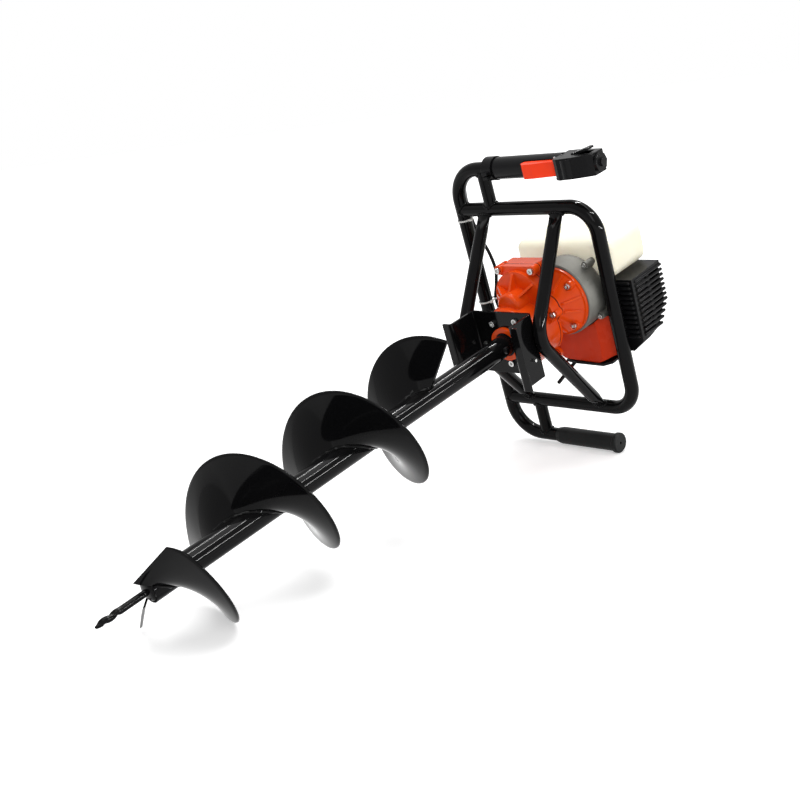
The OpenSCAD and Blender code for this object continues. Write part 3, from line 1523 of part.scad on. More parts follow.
// Lockout paddle on the head's outer side, hinged at its front
lockout_y = -grip_y - 17;
lockout_w = 16;
lockout_l = 34;
lockout_x = head_start + 22;
module lockout_room() {
  translate([lockout_x - move_gap, lockout_y - 1, frame_z - lockout_w / 2 - move_gap])
    cube([lockout_l + 2 * move_gap, 7, lockout_w + 2 * move_gap]);
}
module lockout_lever() {
  color(black_plastic) lying() translate([lockout_x, lockout_y, frame_z + lockout_w / 2])
    rotate([180, 0, 0]) linear_extrude(lockout_w) {
      polygon([[2, 0], [2, -2], [5, -2], [lockout_l, 5], [lockout_l, 8], [lockout_l - 6, 8], [2, 1]]);
      translate([2, 0]) circle(2);
    }
}

// Stop switch: a small slider on the head's far face
switch_x = head_start + 24;
switch_w = 12;
switch_travel = 7;
module stop_switch_room() {
  translate([switch_x - switch_w / 2 - move_gap, -grip_y - 5 - move_gap, frame_z + 11])
    cube([switch_w + switch_travel + 2 * move_gap, 10 + 2 * move_gap, 10]);
}
module stop_switch() {
  color([0.8, 0.1, 0.08]) lying()
    translate([switch_x - switch_w / 2, -grip_y - 5, frame_z + 11 + move_gap])
      cube([switch_w, 10, 10]);
}

module grip_end_cap() {
  color(black_plastic) lying() along_grip(head_end + seat_gap, -grip_y) {
    cylinder(r = 15, h = 5, $fn = 8);
    translate([0, 0, 4]) cylinder(r = 7, h = end_cap_l - 4 - seat_gap, $fn = 6);
  }
}

// Clamp ring between barrel and tube, with screw lugs
clamp_w = 20;
module throttle_clamp() {
  r = throttle_r + 1.5;
  x0 = throttle_start - clamp_w - 0.5;
  color(black_plastic) lying() difference() {
    union() {
      along_grip(x0, -grip_y) cylinder(r = r, h = clamp_w);
      translate([x0 + 5, -grip_y, frame_z - r - 5]) cube([10, 12, 12]);
    }
    along_grip(x0 - 1, -grip_y) cylinder(r = tube_r + run_gap, h = clamp_w + 2);
    translate([x0 - 1, -grip_y + 5, frame_z - r - 6]) cube([clamp_w + 2, 2, 14]);
    cable_room();
  }
}

// Throttle cable from the grip along the spine to the carburettor
cable_r = cable_d / 2;
cable_z = frame_z + tube_r + cable_r + 0.4;
cable_ring_sides = 8;
cable_route = [
  [-78, -252, 154.4], [-100, -252, 154.4], [-124, -250, 154.4], [-142, -240, 154.4], [-154, -222, 154.4],
  [-159, -200, 154.4], [-159, -175, 154.4], [-157, -150, 155], [-150, -120, 157], [-141, -90, 159],
  [-138, -60, 160], [-143, -32, 157], [-150, -10, 156], [-148, 12, 156], [-136, 32, 159],
  [-116, 50, 165], [-92, 61, 172], [-70, 67, 178], [-50, 68, 180], [-36, 66, 180]
];
function route_dir(p, i) = unit(p[min(i + 1, len(p) - 1)] - p[max(i - 1, 0)]);
module tube_along(p, r, sides) {
  points = [
    for (i = [0 : len(p) - 1])
      let (d = route_dir(p, i), a = unit(cross(d, [0, 0.05, 1])), b = cross(d, a))
      for (k = [0 : sides - 1])
        p[i] + r * (cos(360 * k / sides) * a + sin(360 * k / sides) * b)
  ];
  strip_solid(points, sides);
}
module throttle_cable() {
  color(soft_black) lying() tube_along(cable_route, cable_r, cable_ring_sides);
}
module cable_room() {
  translate([throttle_start - clamp_w - 2, -grip_y, cable_z]) rotate([0, 90, 0])
    cylinder(r = cable_r + move_gap, h = 3);
}

tie_w = 2.5;
tie_y = [-162, -8];
module tie_outline(y, r) {
  hull() {
    circle(tube_r + r);
    translate([y > -100 ? 9 : 0, -cable_z + frame_z - 1]) circle(cable_r + r + 0.4);
  }
}
module cable_ties() {
  color(tie_white) lying()
    for (y = tie_y)
      translate([-spine_x, y, frame_z]) rotate([90, 0, 0]) {
        linear_extrude(tie_w) mirror([0, 1]) difference() {
          tie_outline(y, tie_gap + tie_t);
          tie_outline(y, tie_gap);
        }
        translate([tube_r + tie_gap, -5, -0.5]) cube([5, 5, tie_w + 1]);
      }
}

auger_tube();
auger_flight();
leading_cutter();
trailing_cutter();
pilot_drill();
coupling_bolt();
output_shaft();
output_gear();
layshaft();
layshaft_gear();
clutch_drum();
gearbox_lower();
gearbox_divider();
gearbox_upper();
gearbox_bolts();
gearbox_bearings();
output_seal();
clutch_housing();
clutch_housing_bolts();
clutch_shoes();
flywheel();
crankcase();
crankshaft();
connecting_rod();
piston();
finned_cylinder();  // cylinder
spark_plug();
cylinder_cover();
cover_base();
muffler();
muffler_guard();
breather_pipe();
carburettor();
air_filter();
throttle_lever();
choke_lever();
primer_bulb();
starter_housing();
starter_pulley();
starter_handle();
fuel_tank();
fuel_cap();
bracket();
bracket_bolts();
handle_tube();
loop_tube();
handle_struts();
brace_left();
brace_right();
rubber_grip();
throttle_grip();
throttle_clamp();
trigger();
trigger_pin();
lockout_lever();
stop_switch();
grip_end_cap();
throttle_cable();
cable_ties();
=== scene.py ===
"""Petrol earth auger lying on the floor: the finish of every piece, and the forms that need smooth surfaces.

Places are worked out in the machine's own frame and carried into the row frame by place(): x runs along
the hand grips, y from the throttle grip to the rubber grip, z up the auger's axis to the engine, with the
zero on the axis at the bracket's lower face. Everything is in metres.
"""

import json
import math

import bpy
import numpy as np
from bpy.props import FloatProperty, FloatVectorProperty, IntProperty, PointerProperty
from bpy.types import Operator, Panel, PropertyGroup
from mathutils import Matrix, Vector


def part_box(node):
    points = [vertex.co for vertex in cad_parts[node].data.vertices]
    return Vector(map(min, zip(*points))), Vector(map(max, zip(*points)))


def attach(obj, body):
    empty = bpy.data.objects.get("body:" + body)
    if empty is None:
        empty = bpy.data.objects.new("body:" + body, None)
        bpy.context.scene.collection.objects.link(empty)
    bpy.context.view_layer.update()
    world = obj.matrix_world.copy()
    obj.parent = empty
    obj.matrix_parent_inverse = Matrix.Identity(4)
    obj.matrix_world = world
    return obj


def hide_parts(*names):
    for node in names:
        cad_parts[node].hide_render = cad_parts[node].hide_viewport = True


bl_info = {
    "name": "Earth auger finish",
    "version": (1, 0, 0),
    "blender": (4, 5, 0),
    "location": "3D View > Sidebar > Auger",
    "description": "Smooth forms, welds and painted finishes for a petrol earth auger",
    "category": "Object",
}

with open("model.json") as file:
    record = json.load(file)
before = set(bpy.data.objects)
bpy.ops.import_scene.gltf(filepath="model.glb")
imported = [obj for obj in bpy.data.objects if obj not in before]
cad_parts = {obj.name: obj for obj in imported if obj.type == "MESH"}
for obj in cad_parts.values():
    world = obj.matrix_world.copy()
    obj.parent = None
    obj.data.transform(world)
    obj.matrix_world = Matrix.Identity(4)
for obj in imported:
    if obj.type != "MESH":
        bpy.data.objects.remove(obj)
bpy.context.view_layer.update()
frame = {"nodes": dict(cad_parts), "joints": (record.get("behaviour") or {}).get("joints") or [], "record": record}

MM = 0.001
TAU = 2 * math.pi
X_LINE, Y_LINE, Z_LINE = np.eye(3)


# The machine's frame, taken from the joint that turns the bit

SPIN = next(joint for joint in frame["joints"] if joint["name"] == "auger_spin")
MACHINE_ZERO = np.array(SPIN["pos_m"], float)
MACHINE_Z = np.array(SPIN["axis"], float) / np.linalg.norm(SPIN["axis"])
MACHINE_AXES = np.stack((X_LINE, np.cross(MACHINE_Z, X_LINE), MACHINE_Z))


def place(points):
    """Carries points from the machine's frame into the row frame."""
    return np.asarray(points, float) @ MACHINE_AXES + MACHINE_ZERO


# Sizes and colours that a user would change


def length(name, default, note):
    """A length in metres for a property group."""
    return FloatProperty(name=name, description=note, default=default, min=0.0, unit="LENGTH", precision=4)


def level(name, default, note):
    """A place along an axis in metres, on either side of zero."""
    return FloatProperty(name=name, description=note, default=default, unit="LENGTH", precision=4)


def degrees(name, default, note):
    """An angle, written in degrees and kept in radians."""
    return FloatProperty(name=name, description=note, default=math.radians(default), subtype="ANGLE")


def strength(name, default, note):
    """A lamp's power or a light's strength."""
    return FloatProperty(name=name, description=note, default=default, min=0.0)


def point(name, default, note):
    """A point in the machine's frame."""
    return FloatVectorProperty(name=name, description=note, default=default, subtype="TRANSLATION",
                               unit="LENGTH")


def colour(name, default, note):
    """A linear colour for a property group."""
    return FloatVectorProperty(name=name, description=note, default=default, size=3, min=0.0, max=1.0,
                               subtype="COLOR")


class BitSizes(PropertyGroup):
    """Sizes of the auger bit."""

    tube_radius: length("Tube radius", 18 * MM, "Outer radius of the bit's tube")
    tube_bore: length("Tube bore", 14.5 * MM, "Inner radius of the bit's tube")
    tube_top: level("Tube's upper end", -7.5 * MM, "Height of the tube's upper end")
    tube_low: level("Tube's lower end", -744.5 * MM, "Height of the tube's lower end")
    radius: length("Flight radius", 100 * MM, "Outer radius of the flight")
    thickness: length("Flight thickness", 4 * MM, "Thickness of the flight's plate")
    pitch: length("Flight pitch", 186 * MM, "Advance of the flight in one turn")
    rise: length("Flight start", 28 * MM, "Height of the flight's start above the tube's lower end")
    dish: length("Flight dish", 21 * MM, "How far the flight's root lies below its rim")
    turns: FloatProperty(name="Turns", description="Turns of the flight", default=2.92, min=0.5)
    start: degrees("Start angle", -32, "Angle at which the flight starts")
    bead: length("Weld bead", 2.6 * MM, "Radius of the weld bead along the flight's root")
    pilot_radius: length("Pilot radius", 4.75 * MM, "Radius of the pilot drill's rod")
    pilot_length: length("Pilot length", 83 * MM, "Length of the pilot drill below the tube")
    pilot_point: length("Pilot point", 40 * MM, "Length of the pilot drill's twisted point")
    plug_radius: length("Plug radius", 14.4 * MM, "Radius of the plug that closes the tube's lower end")
    cutter_drop: length("Cutter drop", 12 * MM, "How far the leading cutter reaches below the tube")
    cutter_sweep: degrees("Cutter sweep", 74, "Angle from the flight's start to the cutter's tip")
    cutter_lean: degrees("Cutter lean", 18, "Angle from the flight's start to the edge's rim end")
    cutter_inset: length("Cutter inset", 12 * MM, "How far the edge's rim end lies inside the flight's rim")
    cutter_fall: length("Cutter fall", 10 * MM, "How far the edge's rim end lies below the flight's start")
    cutter_gap: length("Cutter gap", 1.2 * MM, "Gap between the cutter's tip and the tube")


class FrameSizes(PropertyGroup):
    """Sizes of the welded handle frame and the cable on it."""

    tube: length("Tube radius", 12 * MM, "Radius of the handle and loop tubes")
    strut: length("Strut radius", 11 * MM, "Radius of the short struts")
    brace: length("Brace radius", 11 * MM, "Radius of the braces")
    height: length("Frame height", 139 * MM, "Height of the handle plane over the bracket")
    spine: length("Spine distance", 159 * MM, "From the auger's axis to the spine")
    grip: length("Grip distance", 252 * MM, "From the auger's axis to the grips")
    grip_end: level("Throttle end", 9 * MM, "Where the handle's tube ends inside the throttle grip")
    loop_reach: length("Loop reach", 119 * MM, "From the auger's axis to the loop's outer bar")
    loop_side: length("Loop side", 181 * MM, "From the auger's axis to the loop's long bars")
    handle_bend: length("Handle bend", 55 * MM, "Bend radius of the handle tube")
    loop_bend: length("Loop bend", 46 * MM, "Bend radius of the loop tube")
    brace_bend: length("Brace bend", 40 * MM, "Bend radius of the braces at the bracket")
    strut_place: length("Strut place", 91 * MM, "From the auger's axis to the struts")
    brace_right: length("Right brace", 49 * MM, "Right brace's place along the loop's bars")
    brace_left: length("Left brace", 106 * MM, "Left brace's place along the loop's bars")
    brace_foot: length("Brace foot", 79 * MM, "From the auger's axis to the bend of the braces")
    brace_lead: length("Brace lead", 18 * MM, "How far the bend of the braces lies off the auger's axis")
    brace_dip: length("Brace dip", 16 * MM, "How far the bend of the braces lies below the bracket's face")
    crimp: FloatProperty(name="Crimp", description="How flat the braces are pressed at their upper ends",
                         default=0.50, min=0.0, max=0.6, subtype="FACTOR")
    bead: length("Weld bead", 2.4 * MM, "Radius of the weld beads on the frame")
    cable: length("Cable diameter", 6 * MM, "Diameter of the throttle cable")


class GuardSizes(PropertyGroup):
    """Sizes of the rounded bars on the muffler's guard."""

    face: length("Outer face", 150 * MM, "From the auger's axis to the guard's outer face")
    depth: length("Depth", 42 * MM, "Depth of the guard across the crankshaft")
    near: length("Near end", 156 * MM, "Height at which the guard starts over the bracket")
    far: length("Far end", 239 * MM, "Height at which the guard ends over the bracket")
    first: level("First bar", -42 * MM, "Place of the first bar along y")
    pitch: length("Pitch", 8.545 * MM, "Distance from bar to bar")
    bar: length("Bar radius", 2.9 * MM, "Radius of the rounded bars")
    bars: IntProperty(name="Bars", description="Number of bars", default=12, min=1)
    slant_from: level("Slant's start", 19 * MM, "Place along y where the far end starts to draw in")
    slant_to: level("Slant's end", 53 * MM, "Place along y where the far end has drawn in fully")
    slant: length("Slant", 26 * MM, "How far the far end draws in")


class Finishes(PropertyGroup):
    """Base colours of the finishes."""

    enamel: colour("Black enamel", (0.0035, 0.0035, 0.0038), "Gloss paint on the bit, bracket and frame")
    casting: colour("Orange casting", (0.8, 0.07, 0.003), "Paint on the gear case")
    cover: colour("Red cover", (0.54, 0.03, 0.003), "Moulded plastic of the cylinder's cover")
    alloy: colour("Bare alloy", (0.15, 0.148, 0.134), "Bare casting of the clutch housing and engine")
    plastic: colour("Black plastic", (0.0045, 0.0045, 0.005), "Moulded plastic of the guard and grip")
    rubber: colour("Black rubber", (0.006, 0.0065, 0.0065), "Rubber of the hand grip and the cable's skin")
    steel: colour("Plain steel", (0.42, 0.42, 0.43), "Bare turned steel")
    zinc: colour("Zinc plate", (0.52, 0.52, 0.51), "Plated bolts")
    tank: colour("Tank plastic", (0.9, 0.86, 0.7), "Blow-moulded plastic of the fuel tank")
    trigger: colour("Red trigger", (0.98, 0.05, 0.01), "Moulded plastic of the trigger")
    tie: colour("White tie", (0.66, 0.66, 0.64), "Nylon of the cable ties")
    scorched: colour("Muffler steel", (0.060, 0.055, 0.050), "Heat-darkened sheet of the muffler")
    ceramic: colour("Plug ceramic", (0.85, 0.84, 0.80), "Glazed insulator of the spark plug")
    oxide: colour("Black oxide", (0.055, 0.055, 0.058), "Blackened cross bolt in the bit's coupling")


class StageLook(PropertyGroup):
    """Camera place and the studio's light."""

    camera: point("Camera", (1.29328, -0.705706, -1.339628), "Place of the camera")
    target: point("Target", (0.01461, -0.032114, -0.266659), "Point that the camera looks at")
    roll: degrees("Roll", -7.1585, "Turn of the camera about its own line of sight")
    lens: FloatProperty(name="Lens", description="Focal length on a 36 mm sensor", default=54.588, min=10.0)
    key: strength("Key light", 74.0, "Power of the broad overhead panel")
    tubes: strength("Tube lamps", 60.0, "Power of each thin tube lamp")
    fill: strength("Fill light", 24.0, "Power of the panel on the camera's side")
    sky: strength("Sky", 0.50, "Strength of the even light from all sides")


# Surfaces worked out as whole arrays


def smooth_steps(low, high, t):
    """Smooth step of t between low and high: 3s squared minus 2s cubed of the clamped fraction s."""
    s = np.clip((t - low) / (high - low), 0.0, 1.0)
    return s * s * (3 - 2 * s)


def added(name, data):
    """Adds an object at the origin to the scene."""
    made = bpy.data.objects.new(name, data)
    bpy.context.scene.collection.objects.link(made)
    return made


def new_piece(name, points, faces, material, body, stands_for=(), sharp=math.radians(35)):
    """Makes a mesh object from row-frame points and faces, smooth-shaded up to the sharp angle."""
    mesh = bpy.data.meshes.new(name)
    mesh.from_pydata(points.tolist(), [], faces)
    mesh.validate()
    mesh.shade_smooth()
    mesh.set_sharp_from_angle(angle=sharp)
    mesh.materials.append(material)
    piece = added(name, mesh)
    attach(piece, body)
    if stands_for:
        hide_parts(*stands_for)
    return piece


def ring_faces(rings, sides, close_ends=True, start=0):
    """Quads between equal rings of points, counted ring by ring, with an end cap at both ends."""
    i, k = np.meshgrid(np.arange(rings - 1), np.arange(sides), indexing="ij")
    a = start + i * sides + k
    b = start + i * sides + (k + 1) % sides
    faces = np.stack((a, b, b + sides, a + sides), axis=-1).reshape(-1, 4).tolist()
    if close_ends:
        last = start + (rings - 1) * sides
        faces.append(list(range(start + sides - 1, start - 1, -1)))
        faces.append(list(range(last, last + sides)))
    return faces


def closed_faces(rings, sides):
    """Quads between equal rings of points where the last ring joins the first."""
    return np.array(ring_faces(rings + 1, sides, False)) % (rings * sides)


def unit(v):
    """A vector, or each row of vectors, made length one."""
    return np.asarray(v, float) / np.linalg.norm(v, axis=-1, keepdims=True)


def polar(radius, turn, height):
    """Points at a radius, an angle and a height about the auger's axis."""
    return np.stack(np.broadcast_arrays(radius * np.cos(turn), radius * np.sin(turn), height), axis=-1)


def carried(profile, path, upward, closed=False):
    """Carries a closed profile along a path: each ring is the path's point plus the profile's two
    coordinates times the side and up directions across the path's tangent."""
    tangent = np.roll(path, -1, axis=0) - np.roll(path, 1, axis=0) if closed else np.gradient(path, axis=0)
    tangent = unit(tangent)
    side = unit(np.cross(tangent, upward))
    up = np.cross(side, tangent)
    profile = np.broadcast_to(profile, (len(path),) + profile.shape[-2:])
    rings = path[:, None] + profile[..., :1] * side[:, None] + profile[..., 1:] * up[:, None]
    return rings.reshape(-1, 3)


def circle(radius, sides):
    """Points of a circle, as (cos, sin) times the radius; the radius may change along a path."""
    turn = np.arange(sides) * TAU / sides
    return np.asarray(radius)[..., None, None] * np.stack((np.cos(turn), np.sin(turn)), axis=-1)


def curve_through(points, steps):
    """Smooth curve through given points: a uniform Catmull-Rom spline with doubled end points."""
    p = np.vstack((points[:1], points, points[-1:]))
    t = np.linspace(0, 1, steps, endpoint=False)[None, :, None]
    a, b, c, d = (p[i:len(p) - 3 + i, None] for i in range(4))
    spans = 0.5 * (2 * b + (c - a) * t + (2 * a - 5 * b + 4 * c - d) * t ** 2
                   + (3 * b - a - 3 * c + d) * t ** 3)
    return np.vstack((spans.reshape(-1, 3), points[-1:]))


def even(path, spacing):
    """The same path with points at an even spacing along its length."""
    run = np.concatenate(([0.0], np.cumsum(np.linalg.norm(np.diff(path, axis=0), axis=1))))
    at = np.linspace(0, run[-1], max(2, int(round(run[-1] / spacing)) + 1))
    return np.stack([np.interp(at, run, path[:, k]) for k in range(3)], axis=-1)


def bent_path(corners, bend, spacing=3 * MM):
    """Straight runs between corners, each corner rounded by an arc of the bend radius that starts the
    bend radius times the tangent of half the turn before the corner."""
    corners = np.asarray(corners, float)
    runs = [corners[:1]]
    for a, b, c in zip(corners, corners[1:], corners[2:]):
        u, w = unit(b - a), unit(c - b)
        turn = math.acos(float(u @ w))
        inward = unit(w - u * (u @ w))
        t = np.linspace(0, turn, 40)[:, None]
        centre = b - u * bend * math.tan(turn / 2) + inward * bend
        runs.append(centre + bend * (np.sin(t) * u - np.cos(t) * inward))
    return even(np.vstack(runs + [corners[-1:]]), spacing)


def seam(foot, along, radii, bar_point, bar_line, bar_radius, count=96):
    """Closed line where a branch tube runs into a round bar. On the branch's skin at each angle, the
    step along the branch is the nearer root of: distance from the bar's line equals the bar's radius."""
    w, e = unit(along), unit(bar_line)
    u = unit(np.cross(w, e))
    v = np.cross(u, w)
    turn = np.arange(count)[:, None] * TAU / count
    skin = foot + radii[0] * np.cos(turn) * u + radii[1] * np.sin(turn) * v
    q = skin - bar_point
    q = q - (q @ e)[:, None] * e
    step = w - (w @ e) * e
    a, b, c = step @ step, 2 * q @ step, np.sum(q * q, axis=1) - bar_radius ** 2
    reach = (-b - np.sqrt(np.maximum(b * b - 4 * a * c, 0))) / (2 * a)
    return skin + reach[:, None] * w


# Points round a weld bead

BEAD_SIDES = 10


def bead_mesh(line, upward, radius, pools=18):
    """Closed weld bead round a closed line: a circle whose radius swells with each weld pool."""
    turn = np.arange(len(line)) * TAU / len(line)
    swell = radius * (1 + 0.15 * np.sin(pools * turn) + 0.08 * np.sin(5 * turn + 1))
    return carried(circle(swell, BEAD_SIDES), line, upward, True), closed_faces(len(line), BEAD_SIDES)


# Shader node groups and finishes


class Graph:
    """A small helper that adds nodes to a tree and links them."""

    def __init__(self, tree):
        self.tree = tree
        tree.nodes.clear()

    def node(self, kind, **settings):
        """Adds a node; settings are its own properties."""
        made = self.tree.nodes.new(kind)
        for key, value in settings.items():
            setattr(made, key, value)
        return made

    def put(self, socket, value):
        """Links a socket to another, or sets its value."""
        if isinstance(value, bpy.types.NodeSocket):
            self.tree.links.new(value, socket)
        else:
            socket.default_value = value

    def feed(self, made, **values):
        """Puts values into a node's sockets by name."""
        for name, value in values.items():
            self.put(made.inputs[name], value)

    def noise(self, where, scale, detail=3.0, roughness=0.55):
        """Noise at the given coordinates; returns its value."""
        made = self.node("ShaderNodeTexNoise")
        self.feed(made, Vector=where, Scale=scale, Detail=detail, Roughness=roughness)
        return made.outputs["Fac"]

    def math(self, kind, a, b=0.0, clamp=False):
        """One Math node."""
        made = self.node("ShaderNodeMath", operation=kind, use_clamp=clamp)
        self.put(made.inputs[0], a)
        self.put(made.inputs[1], b)
        return made.outputs[0]

    def vector(self, kind, *values):
        """One Vector Math node; returns its outputs."""
        made = self.node("ShaderNodeVectorMath", operation=kind)
        for socket, value in zip(made.inputs, values):
            self.put(socket, value)
        return made.outputs

    def times(self, a, b):
        """The product of two values."""
        return self.math("MULTIPLY", a, b)

    def plus(self, a, b, clamp=False):
        """The sum of two values."""
        return self.math("ADD", a, b, clamp)

    def where(self):
        """Coordinates in the object's own space."""
        return self.node("ShaderNodeTexCoord").outputs["Object"]

    def ramp(self, value, low, high, to_low=0.0, to_high=1.0):
        """Map Range from low..high to to_low..to_high, clamped."""
        made = self.node("ShaderNodeMapRange", clamp=True)
        for socket, number in zip(made.inputs, (value, low, high, to_low, to_high)):
            self.put(socket, number)
        return made.outputs["Result"]

    def mix(self, factor, a, b):
        """Mixes two colours by a factor."""
        made = self.node("ShaderNodeMix", data_type="RGBA")
        self.feed(made, Factor=factor, A=a, B=b)
        return made.outputs["Result"]


# Every node group and material, by name

GROUPS = {}
FINISH = {}


def node_group(name, inputs, outputs):
    """Starts and lists a shader node group with named float inputs and typed outputs."""
    tree = bpy.data.node_groups.new(name, "ShaderNodeTree")
    for label, default in inputs:
        socket = tree.interface.new_socket(label, in_out="INPUT", socket_type="NodeSocketFloat")
        socket.default_value = default
    for label, kind in outputs:
        tree.interface.new_socket(label, in_out="OUTPUT", socket_type=kind)
    GROUPS[name] = tree
    graph = Graph(tree)
    return graph, graph.node("NodeGroupInput"), graph.node("NodeGroupOutput")


def edge_group():
    """Rounded edges: the normal of a small bevel, and a broken mask where that bevel turns the surface."""
    graph, given, out = node_group(
        "rounded_edges", [("Radius", 0.001), ("Break-up", 90.0)],
        [("Normal", "NodeSocketVector"), ("Edge", "NodeSocketFloat")])
    bevel = graph.node("ShaderNodeBevel", samples=4)
    graph.feed(bevel, Radius=given.outputs["Radius"])
    face = graph.node("ShaderNodeNewGeometry")
    dot = graph.vector("DOT_PRODUCT", bevel.outputs["Normal"], face.outputs["Normal"])
    turned = graph.ramp(dot["Value"], 0.995, 0.80)
    broken = graph.ramp(graph.noise(graph.where(), given.outputs["Break-up"], 4.0), 0.47, 0.62)
    graph.feed(out, Normal=bevel.outputs["Normal"], Edge=graph.times(turned, broken))


def grain_group():
    """Paint and moulding grain: a fine height, a broad mottle and a sparse speck mask from three noises."""
    graph, given, out = node_group(
        "surface_grain", [("Fine scale", 600.0), ("Broad scale", 14.0), ("Speck scale", 260.0)],
        [("Height", "NodeSocketFloat"), ("Mottle", "NodeSocketFloat"), ("Specks", "NodeSocketFloat")])
    where = graph.where()
    fine = graph.noise(where, given.outputs["Fine scale"], 2.0)
    broad = graph.noise(where, given.outputs["Broad scale"], 5.0, 0.6)
    specks = graph.noise(where, given.outputs["Speck scale"], 1.0)
    graph.feed(out, Height=fine, Mottle=graph.ramp(broad, 0.3, 0.7), Specks=graph.ramp(specks, 0.68, 0.76))


def scratch_group():
    """Handling scratches: noise stretched along x at a slant, cut to its thin crests."""
    graph, given, out = node_group(
        "fine_scratches", [("Scale", 40.0), ("Stretch", 30.0), ("Slant", 0.6)],
        [("Scratches", "NodeSocketFloat")])
    turned = graph.node("ShaderNodeVectorRotate", rotation_type="Z_AXIS")
    graph.feed(turned, Vector=graph.where(), Angle=given.outputs["Slant"])
    stretch = graph.node("ShaderNodeCombineXYZ")
    across = graph.times(given.outputs["Scale"], given.outputs["Stretch"])
    graph.feed(stretch, X=given.outputs["Scale"], Y=across, Z=across)
    scaled = graph.vector("MULTIPLY", turned.outputs["Vector"], stretch.outputs["Vector"])
    lines = graph.noise(scaled["Vector"], 1.0, 1.0)
    graph.feed(out, Scratches=graph.ramp(lines, 0.70, 0.78))


def dust_group():
    """Dust that settles on faces that look up, broken by a soft noise."""
    graph, given, out = node_group(
        "settled_dust", [("Amount", 0.2), ("Scale", 24.0)], [("Dust", "NodeSocketFloat")])
    where = graph.node("ShaderNodeTexCoord")
    up = graph.node("ShaderNodeSeparateXYZ")
    graph.put(up.inputs[0], where.outputs["Normal"])
    facing = graph.ramp(up.outputs["Z"], 0.25, 1.0)
    patches = graph.ramp(graph.noise(where.outputs["Object"], given.outputs["Scale"], 6.0, 0.65), 0.42, 0.75)
    settled = graph.times(facing, patches)
    graph.feed(out, Dust=graph.times(settled, given.outputs["Amount"]))


class Finish(Graph):
    """One material with a Principled shader, rounded edges, grain and the helpers to join them."""

    def __init__(self, name):
        self.material = bpy.data.materials.new(name)
        self.material.use_nodes = True
        FINISH[name] = self.material
        super().__init__(self.material.node_tree)
        self.shader = self.node("ShaderNodeBsdfPrincipled")
        out = self.node("ShaderNodeOutputMaterial")
        self.feed(out, Surface=self.shader.outputs["BSDF"])

    def group(self, name, **values):
        """Places a shared group with this finish's own values, given with underscores for spaces."""
        made = self.node("ShaderNodeGroup", node_tree=GROUPS[name])
        for socket in made.inputs:
            key = socket.name.lower().replace(" ", "_").replace("-", "_")
            if key in values:
                socket.default_value = values[key]
        return made.outputs

    def set(self, **values):
        """Sets the shader's sockets by name, with underscores for spaces."""
        for key, value in values.items():
            self.put(self.shader.inputs[key.replace("_", " ").title().replace("Ior", "IOR")], value)

    def parting_line(self, height):
        """One within half a millimetre of a machine height, else zero."""
        along = self.vector("DOT_PRODUCT", self.where(), MACHINE_Z)
        off = self.math("SUBTRACT", along["Value"], float(MACHINE_Z @ MACHINE_ZERO) + height)
        return self.ramp(self.math("ABSOLUTE", off), 0.0005, 0.0009, 1.0, 0.0)

    def bumps(self, height, depth, normal):
        """Feeds a bumped, edge-rounded normal to the shader."""
        bump = self.node("ShaderNodeBump")
        self.feed(bump, Strength=1.0, Distance=depth, Height=height)
        if normal is not None:
            self.feed(bump, Normal=normal)
        self.set(normal=bump.outputs["Normal"])


# Tones beside the base colour: metal under worn paint, dust, and the dark line where two halves meet

BARE_METAL = (0.20, 0.195, 0.19, 1.0)
PAINT_DUST = (0.45, 0.43, 0.40, 1.0)
PLASTIC_DUST = (0.50, 0.48, 0.45, 1.0)
METAL_DUST = (0.30, 0.28, 0.25, 1.0)
DARK_JOINT = (0.010, 0.006, 0.004, 1.0)


def tinted(rgb, gain=1.0):
    """A colour as four numbers, made lighter or darker by the gain."""
    return (*(min(1.0, c * gain) for c in rgb), 1.0)


def painted(name, rgb, rough, edge_radius, worn, shine, orange_peel=0.00004, joint=None):
    """Gloss paint: an orange-peel bump, roughness that drifts, scratches and paint worn at edges.
    A joint is the machine height of a parting line, where a thin dark line is left between two halves.
    With no edge radius the surface's own normals are kept, for pieces that are round by themselves."""
    made = Finish(name)
    edges = made.group("rounded_edges", radius=edge_radius) if edge_radius else {"Edge": 0.0, "Normal": None}
    grain = made.group("surface_grain", fine_scale=420.0, broad_scale=9.0)
    lines = made.group("fine_scratches", scale=26.0)
    dust = made.group("settled_dust", amount=0.012)
    base = made.mix(grain["Mottle"], tinted(rgb, 0.86), tinted(rgb, 1.10))
    chipped = made.times(edges["Edge"], worn)
    base = made.mix(chipped, base, BARE_METAL)
    base = made.mix(dust["Dust"], base, PAINT_DUST)
    if joint is not None:
        base = made.mix(made.parting_line(joint), base, DARK_JOINT)
    drift = made.ramp(grain["Mottle"], 0.0, 1.0, rough * 0.8, rough * 1.25)
    drift = made.plus(drift, made.times(lines["Scratches"], 0.12))
    drift = made.plus(drift, made.times(dust["Dust"], 0.9))
    made.set(base_color=base, roughness=made.plus(drift, made.times(chipped, 0.25)), specular_ior_level=shine)
    made.bumps(made.plus(grain["Height"], made.times(lines["Scratches"], -0.15)),
               orange_peel, edges["Normal"])


